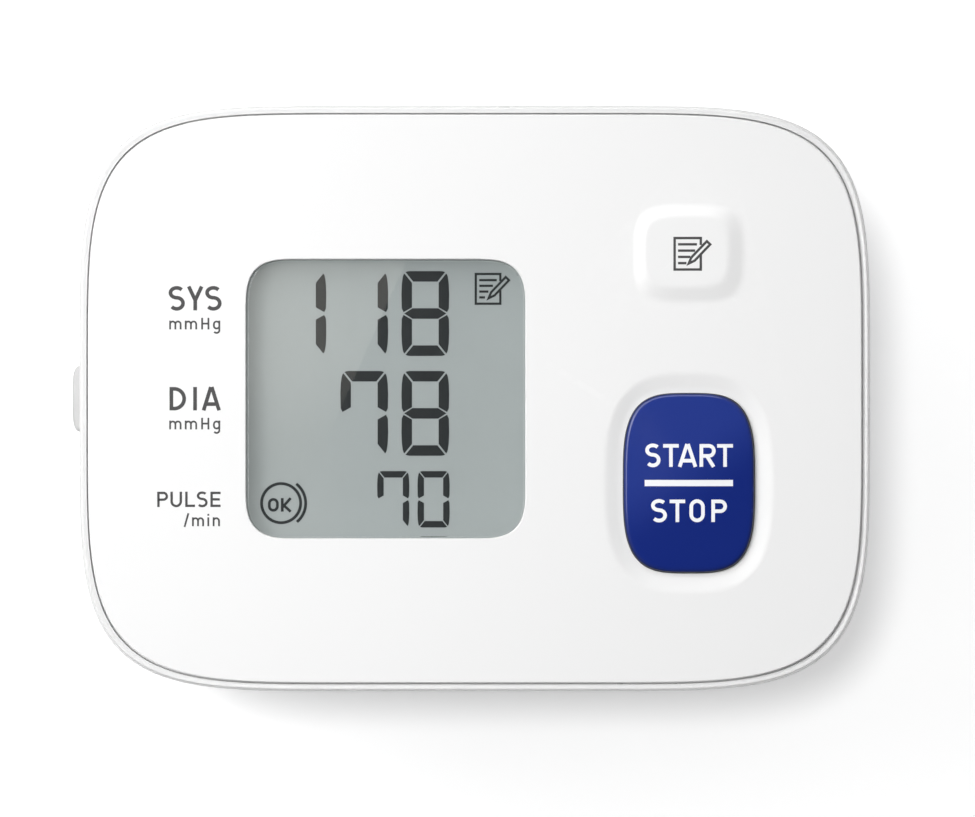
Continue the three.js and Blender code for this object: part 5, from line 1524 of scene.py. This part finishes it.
# %% [markdown]
# ## Metals
# Screws, springs and the motor can are plated steel, the shaft is brass. Their fine lines come from drawing
# and turning, and the plating dulls in patches.

# %% Metals
def drawn(name, light, dark, rough, fineness, depth):
    """A metal with fine lines and patches of a duller tone."""
    tree = new_finish(name)
    place = place_mm(tree)
    texture = use(tree, lines, Place=place, Fineness=fineness)
    film = use(tree, dust, Place=place, Amount=0.2)["Mask"]
    edges = use(tree, wear, Place=place, Amount=0.5)["Mask"]
    body = blended(tree, texture["Tone"], light, dark)
    body = blended(tree, edges, body, tuple(min(value * 1.15, 0.95) for value in light))
    gloss = spread(tree, texture["Height"], 0.2, 0.8, *rough, "LINEAR")
    gloss = calc(tree, "MULTIPLY_ADD", film, 0.3, gloss)
    complete(tree, body, gloss, texture["Height"], depth, Metallic=1.0)


drawn("screw_steel", (0.62, 0.63, 0.65), (0.5, 0.51, 0.53), (0.22, 0.36), 14.0, 0.004)
drawn("spring_steel", (0.68, 0.66, 0.61), (0.56, 0.54, 0.49), (0.2, 0.34), 16.0, 0.003)
drawn("shaft_brass", (0.6, 0.44, 0.17), (0.46, 0.32, 0.11), (0.2, 0.34), 14.0, 0.003)
print("finishes so far:", len(FINISHES))

# %% [markdown]
# ## Circuit board and cells
# The board's solder mask shows the copper tracks under it as lighter, slightly raised lines: bands of
# parallel tracks, whose direction changes from block to block. The cells have a dark printed sleeve with a
# copper-coloured band at the positive end and bare steel at both ends. The two cells lie head to tail, so
# the band's side is found from the sign of y.

# %% Circuit board and cells
TRACK_PITCH = 0.9
COPPER_LENGTH = 13.1
BARE_LENGTH = 1.5
EDGE_BLUR = 0.1

tree = new_finish("board_green")
place = place_mm(tree)
blocks = put(tree, "TexVoronoi", {"Vector": place, "Scale": 0.16}, distance="MANHATTAN").outputs["Color"]
pick = calc(tree, "GREATER_THAN", axis_of(tree, blocks, "X"), 0.5)
by_x = calc(tree, "MULTIPLY", axis_of(tree, place, "X"), pick)
by_y = calc(tree, "MULTIPLY", axis_of(tree, place, "Y"), calc(tree, "SUBTRACT", 1.0, pick))
turn = calc(tree, "MULTIPLY", calc(tree, "ADD", by_x, by_y), 2 * math.pi / TRACK_PITCH)
tracks = spread(tree, calc(tree, "SINE", turn), 0.1, 0.35)
texture = use(tree, grain, Place=place, Size=0.2, Drift=7.0)
green = blended(tree, texture["Tone"], (0.018, 0.15, 0.065), (0.012, 0.12, 0.05))
green = blended(tree, tracks, green, (0.035, 0.24, 0.1))
complete(tree, green, drifting(tree, texture["Tone"], 0.28, 0.4), tracks, 0.03)

tree = new_finish("cell_jacket")
place = place_mm(tree)
cell_low, cell_high = (corner[0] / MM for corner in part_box("battery_1"))
cell_middle, cell_half = (cell_low + cell_high) / 2, (cell_high - cell_low) / 2
from_middle = calc(tree, "SUBTRACT", axis_of(tree, place, "X"), cell_middle)
to_plus = calc(tree, "MULTIPLY", calc(tree, "SIGN", axis_of(tree, place, "Y")), -1.0)
to_plus = calc(tree, "MULTIPLY", from_middle, to_plus)
copper, bare = (
    spread(tree, along, cell_half - size, cell_half - size + EDGE_BLUR, kind="LINEAR")
    for along, size in ((to_plus, COPPER_LENGTH), (calc(tree, "ABSOLUTE", from_middle), BARE_LENGTH))
)
texture = use(tree, grain, Place=place, Size=0.3, Drift=9.0)
edges = use(tree, wear, Place=place, Amount=0.4)["Mask"]
sleeve = blended(tree, texture["Tone"], (0.05, 0.07, 0.1), (0.038, 0.054, 0.08))
for mask, colour in ((copper, (0.5, 0.27, 0.1)), (edges, (0.3, 0.3, 0.3)), (bare, (0.62, 0.62, 0.6))):
    sleeve = blended(tree, mask, sleeve, colour)
metal = calc(tree, "MAXIMUM", bare, calc(tree, "MULTIPLY", copper, 0.6))
complete(tree, sleeve, drifting(tree, texture["Tone"], 0.25, 0.36), texture["Height"], 0.002, Metallic=metal)
print("cells", round(2 * cell_half, 1), "mm long")

# %% [markdown]
# ## The liquid crystal panel and its inks
# The unlit panel is a grey-green mirror behind a polariser. Its colour carries painted light: the tone falls
# slowly from left to right, and a lighter margin at the far left is painted light against the shade of the
# window's wall.
# The brushed reflector gives it the finest lines. The segments are the same panel turned dark. Printed inks
# get a trace of the grain under them.

# %% Display and inks
PANEL_PAINTED_LIGHT_FADE = (-21.0, -11.5)
MARGIN_PAINTED_LIGHT_FADE = (-24.2, -22.4)

tree = new_finish("display_glass")
place = place_mm(tree)
rightward = axis_of(tree, place, "X")
texture = use(tree, lines, Place=place, Fineness=9.0)
# painted light: the panel's tone falls from left to right
tone = blended(tree, spread(tree, rightward, *PANEL_PAINTED_LIGHT_FADE), (0.338, 0.364, 0.361), (0.32, 0.35, 0.35))
# painted light: a lighter margin at the far left, against the shade that the window's wall casts
tone = blended(tree, spread(tree, rightward, *MARGIN_PAINTED_LIGHT_FADE), (0.38, 0.405, 0.402), tone)
streaks = calc(tree, "MULTIPLY", texture["Height"], 0.3)
tone = blended(tree, streaks, tone, (0.355, 0.397, 0.395))
complete(tree, tone, drifting(tree, texture["Tone"], 0.28, 0.34), texture["Height"], 0.0005)


def inked(name, light, dark, rough, depth):
    """A printed or moulded-in colour with a trace of grain."""
    tree = new_finish(name)
    texture = use(tree, grain, Place=place_mm(tree), Size=0.1, Drift=2.0)
    body = blended(tree, texture["Tone"], light, dark)
    complete(tree, body, drifting(tree, texture["Tone"], *rough), texture["Height"], depth)


inked("segment_ink", (0.01, 0.013, 0.0145), (0.008, 0.011, 0.012), (0.36, 0.42), 0.0005)
inked("label_ink", (0.056, 0.055, 0.056), (0.048, 0.047, 0.048), (0.45, 0.55), 0.001)
inked("word_white", (0.86, 0.87, 0.89), (0.83, 0.84, 0.86), (0.3, 0.38), 0.001)
print("finishes so far:", len(FINISHES))

# %% [markdown]
# ## The window
# The window is polished clear plastic. Light that falls through it onto the panel, and the panel's own
# bounced light, must not be lost in refraction, so for shadow, diffuse and glossy rays it is simply clear.
# Its gloss is broken by the faintest wiping haze.

# %% Clear window
tree = new_finish("clear_window")
shader = tree.nodes["Principled BSDF"]
haze = noise(tree, stretched(tree, place_mm(tree), (0.15, 0.6, 1)), 0.6, 4)
haze = spread(tree, haze, 0.45, 0.75, 0.004, 0.013)
clear = {"Base Color": (0.98, 1, 0.99, 1), "Transmission Weight": 1.0, "IOR": 1.46, "Roughness": haze}
fill(tree, shader, clear)
ray = put(tree, "LightPath").outputs
unseen = calc(tree, "MAXIMUM", ray["Is Shadow Ray"], ray["Is Diffuse Ray"])
unseen = calc(tree, "MAXIMUM", unseen, ray["Is Glossy Ray"])
either = {0: unseen, 1: shader.outputs[0], 2: put(tree, "BsdfTransparent").outputs[0]}
fill(tree, tree.nodes["Material Output"], {"Surface": put(tree, "MixShader", either).outputs[0]})
print("clear window ready")

# %% [markdown]
# ## Cloth finishes
# The cover is brushed loop cloth, the lining smooth nylon, the edge tape ribbed, the patch has hooks, and the
# seams are twisted thread. Cloth scatters light at grazing angles, which is the shader's sheen.

# %% Cloth
def woven(name, group, light, dark, rough, depth, sheen, **values):
    """A cloth: its group's height is the bump, its tone the colour's drift, and its hollows get painted shade.
    The group reads the place in the flat cloth, in millimetres, from the piece's own map."""
    tree = new_finish(name)
    texture = use(tree, group, Flat=put(tree, "UVMap", uv_map="flat_mm").outputs[0], **values)
    body = blended(tree, texture["Tone"], dark, light)
    hollow = tuple(value * 0.45 for value in dark)
    # painted shade: the colour darkens in the low places of the pattern
    body = blended(tree, spread(tree, texture["Height"], 0.0, 0.6), hollow, body)
    gloss = drifting(tree, texture["Tone"], *rough)
    complete(tree, body, gloss, texture["Height"], depth, Sheen_Weight=sheen, Sheen_Roughness=0.5)


woven("cuff_cloth", pile, (0.3, 0.31, 0.335), (0.21, 0.22, 0.24), (0.85, 0.95), 0.16, 0.35, Loop=0.5)
woven("lining_cloth", weave, (0.22, 0.23, 0.245), (0.17, 0.18, 0.19), (0.6, 0.75), 0.05, 0.2, Pitch=0.38)
woven("binding_tape", ribbed, (0.105, 0.105, 0.115), (0.075, 0.075, 0.085), (0.65, 0.8), 0.07, 0.2, Pitch=0.55)
woven("hook_tape", hooks, (0.12, 0.12, 0.13), (0.085, 0.085, 0.09), (0.45, 0.6), 0.3, 0.05, Pitch=1.15)

tree = new_finish("seam_thread")
twist = {"Vector": place_mm(tree), "Scale": 1.6, "Distortion": 0.6}
twist = put(tree, "TexWave", twist, bands_direction="DIAGONAL").outputs[1]
body = blended(tree, twist, (0.08, 0.08, 0.085), (0.2, 0.2, 0.21))
complete(tree, body, drifting(tree, twist, 0.55, 0.75), twist, 0.03, Sheen_Weight=0.25)
print("all finishes:", len(FINISHES))

# %% [markdown]
# ## Dressing the pieces
# Every imported node and every new piece takes the finish of its slot. The inks and the threads get a finish
# of their own, and the tab a darker grey that is painted shade.

# %% Dressing
def dress(finish, *pieces):
    """One material for the whole of each piece."""
    for piece in pieces:
        piece.data.materials.clear()
        piece.data.materials.append(FINISHES[finish])


for row in frame["record"]["subparts"]:
    dress(row["material_slot"], frame["nodes"][row["node"]])
for piece in [o for o in scene.objects if o.get("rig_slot") and o.type == "MESH"]:
    dress(piece["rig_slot"], piece)
dress("segment_ink", digits, screen_icons)
dress("label_ink", face_labels, key_icon)
dress("word_white", start_words)
dress("seam_thread", outer_seam, inner_seam, tail_seam, patch_seam)
# painted shade: the tab is dressed darker than the case it belongs to
dress("tab_painted_shade", tab)
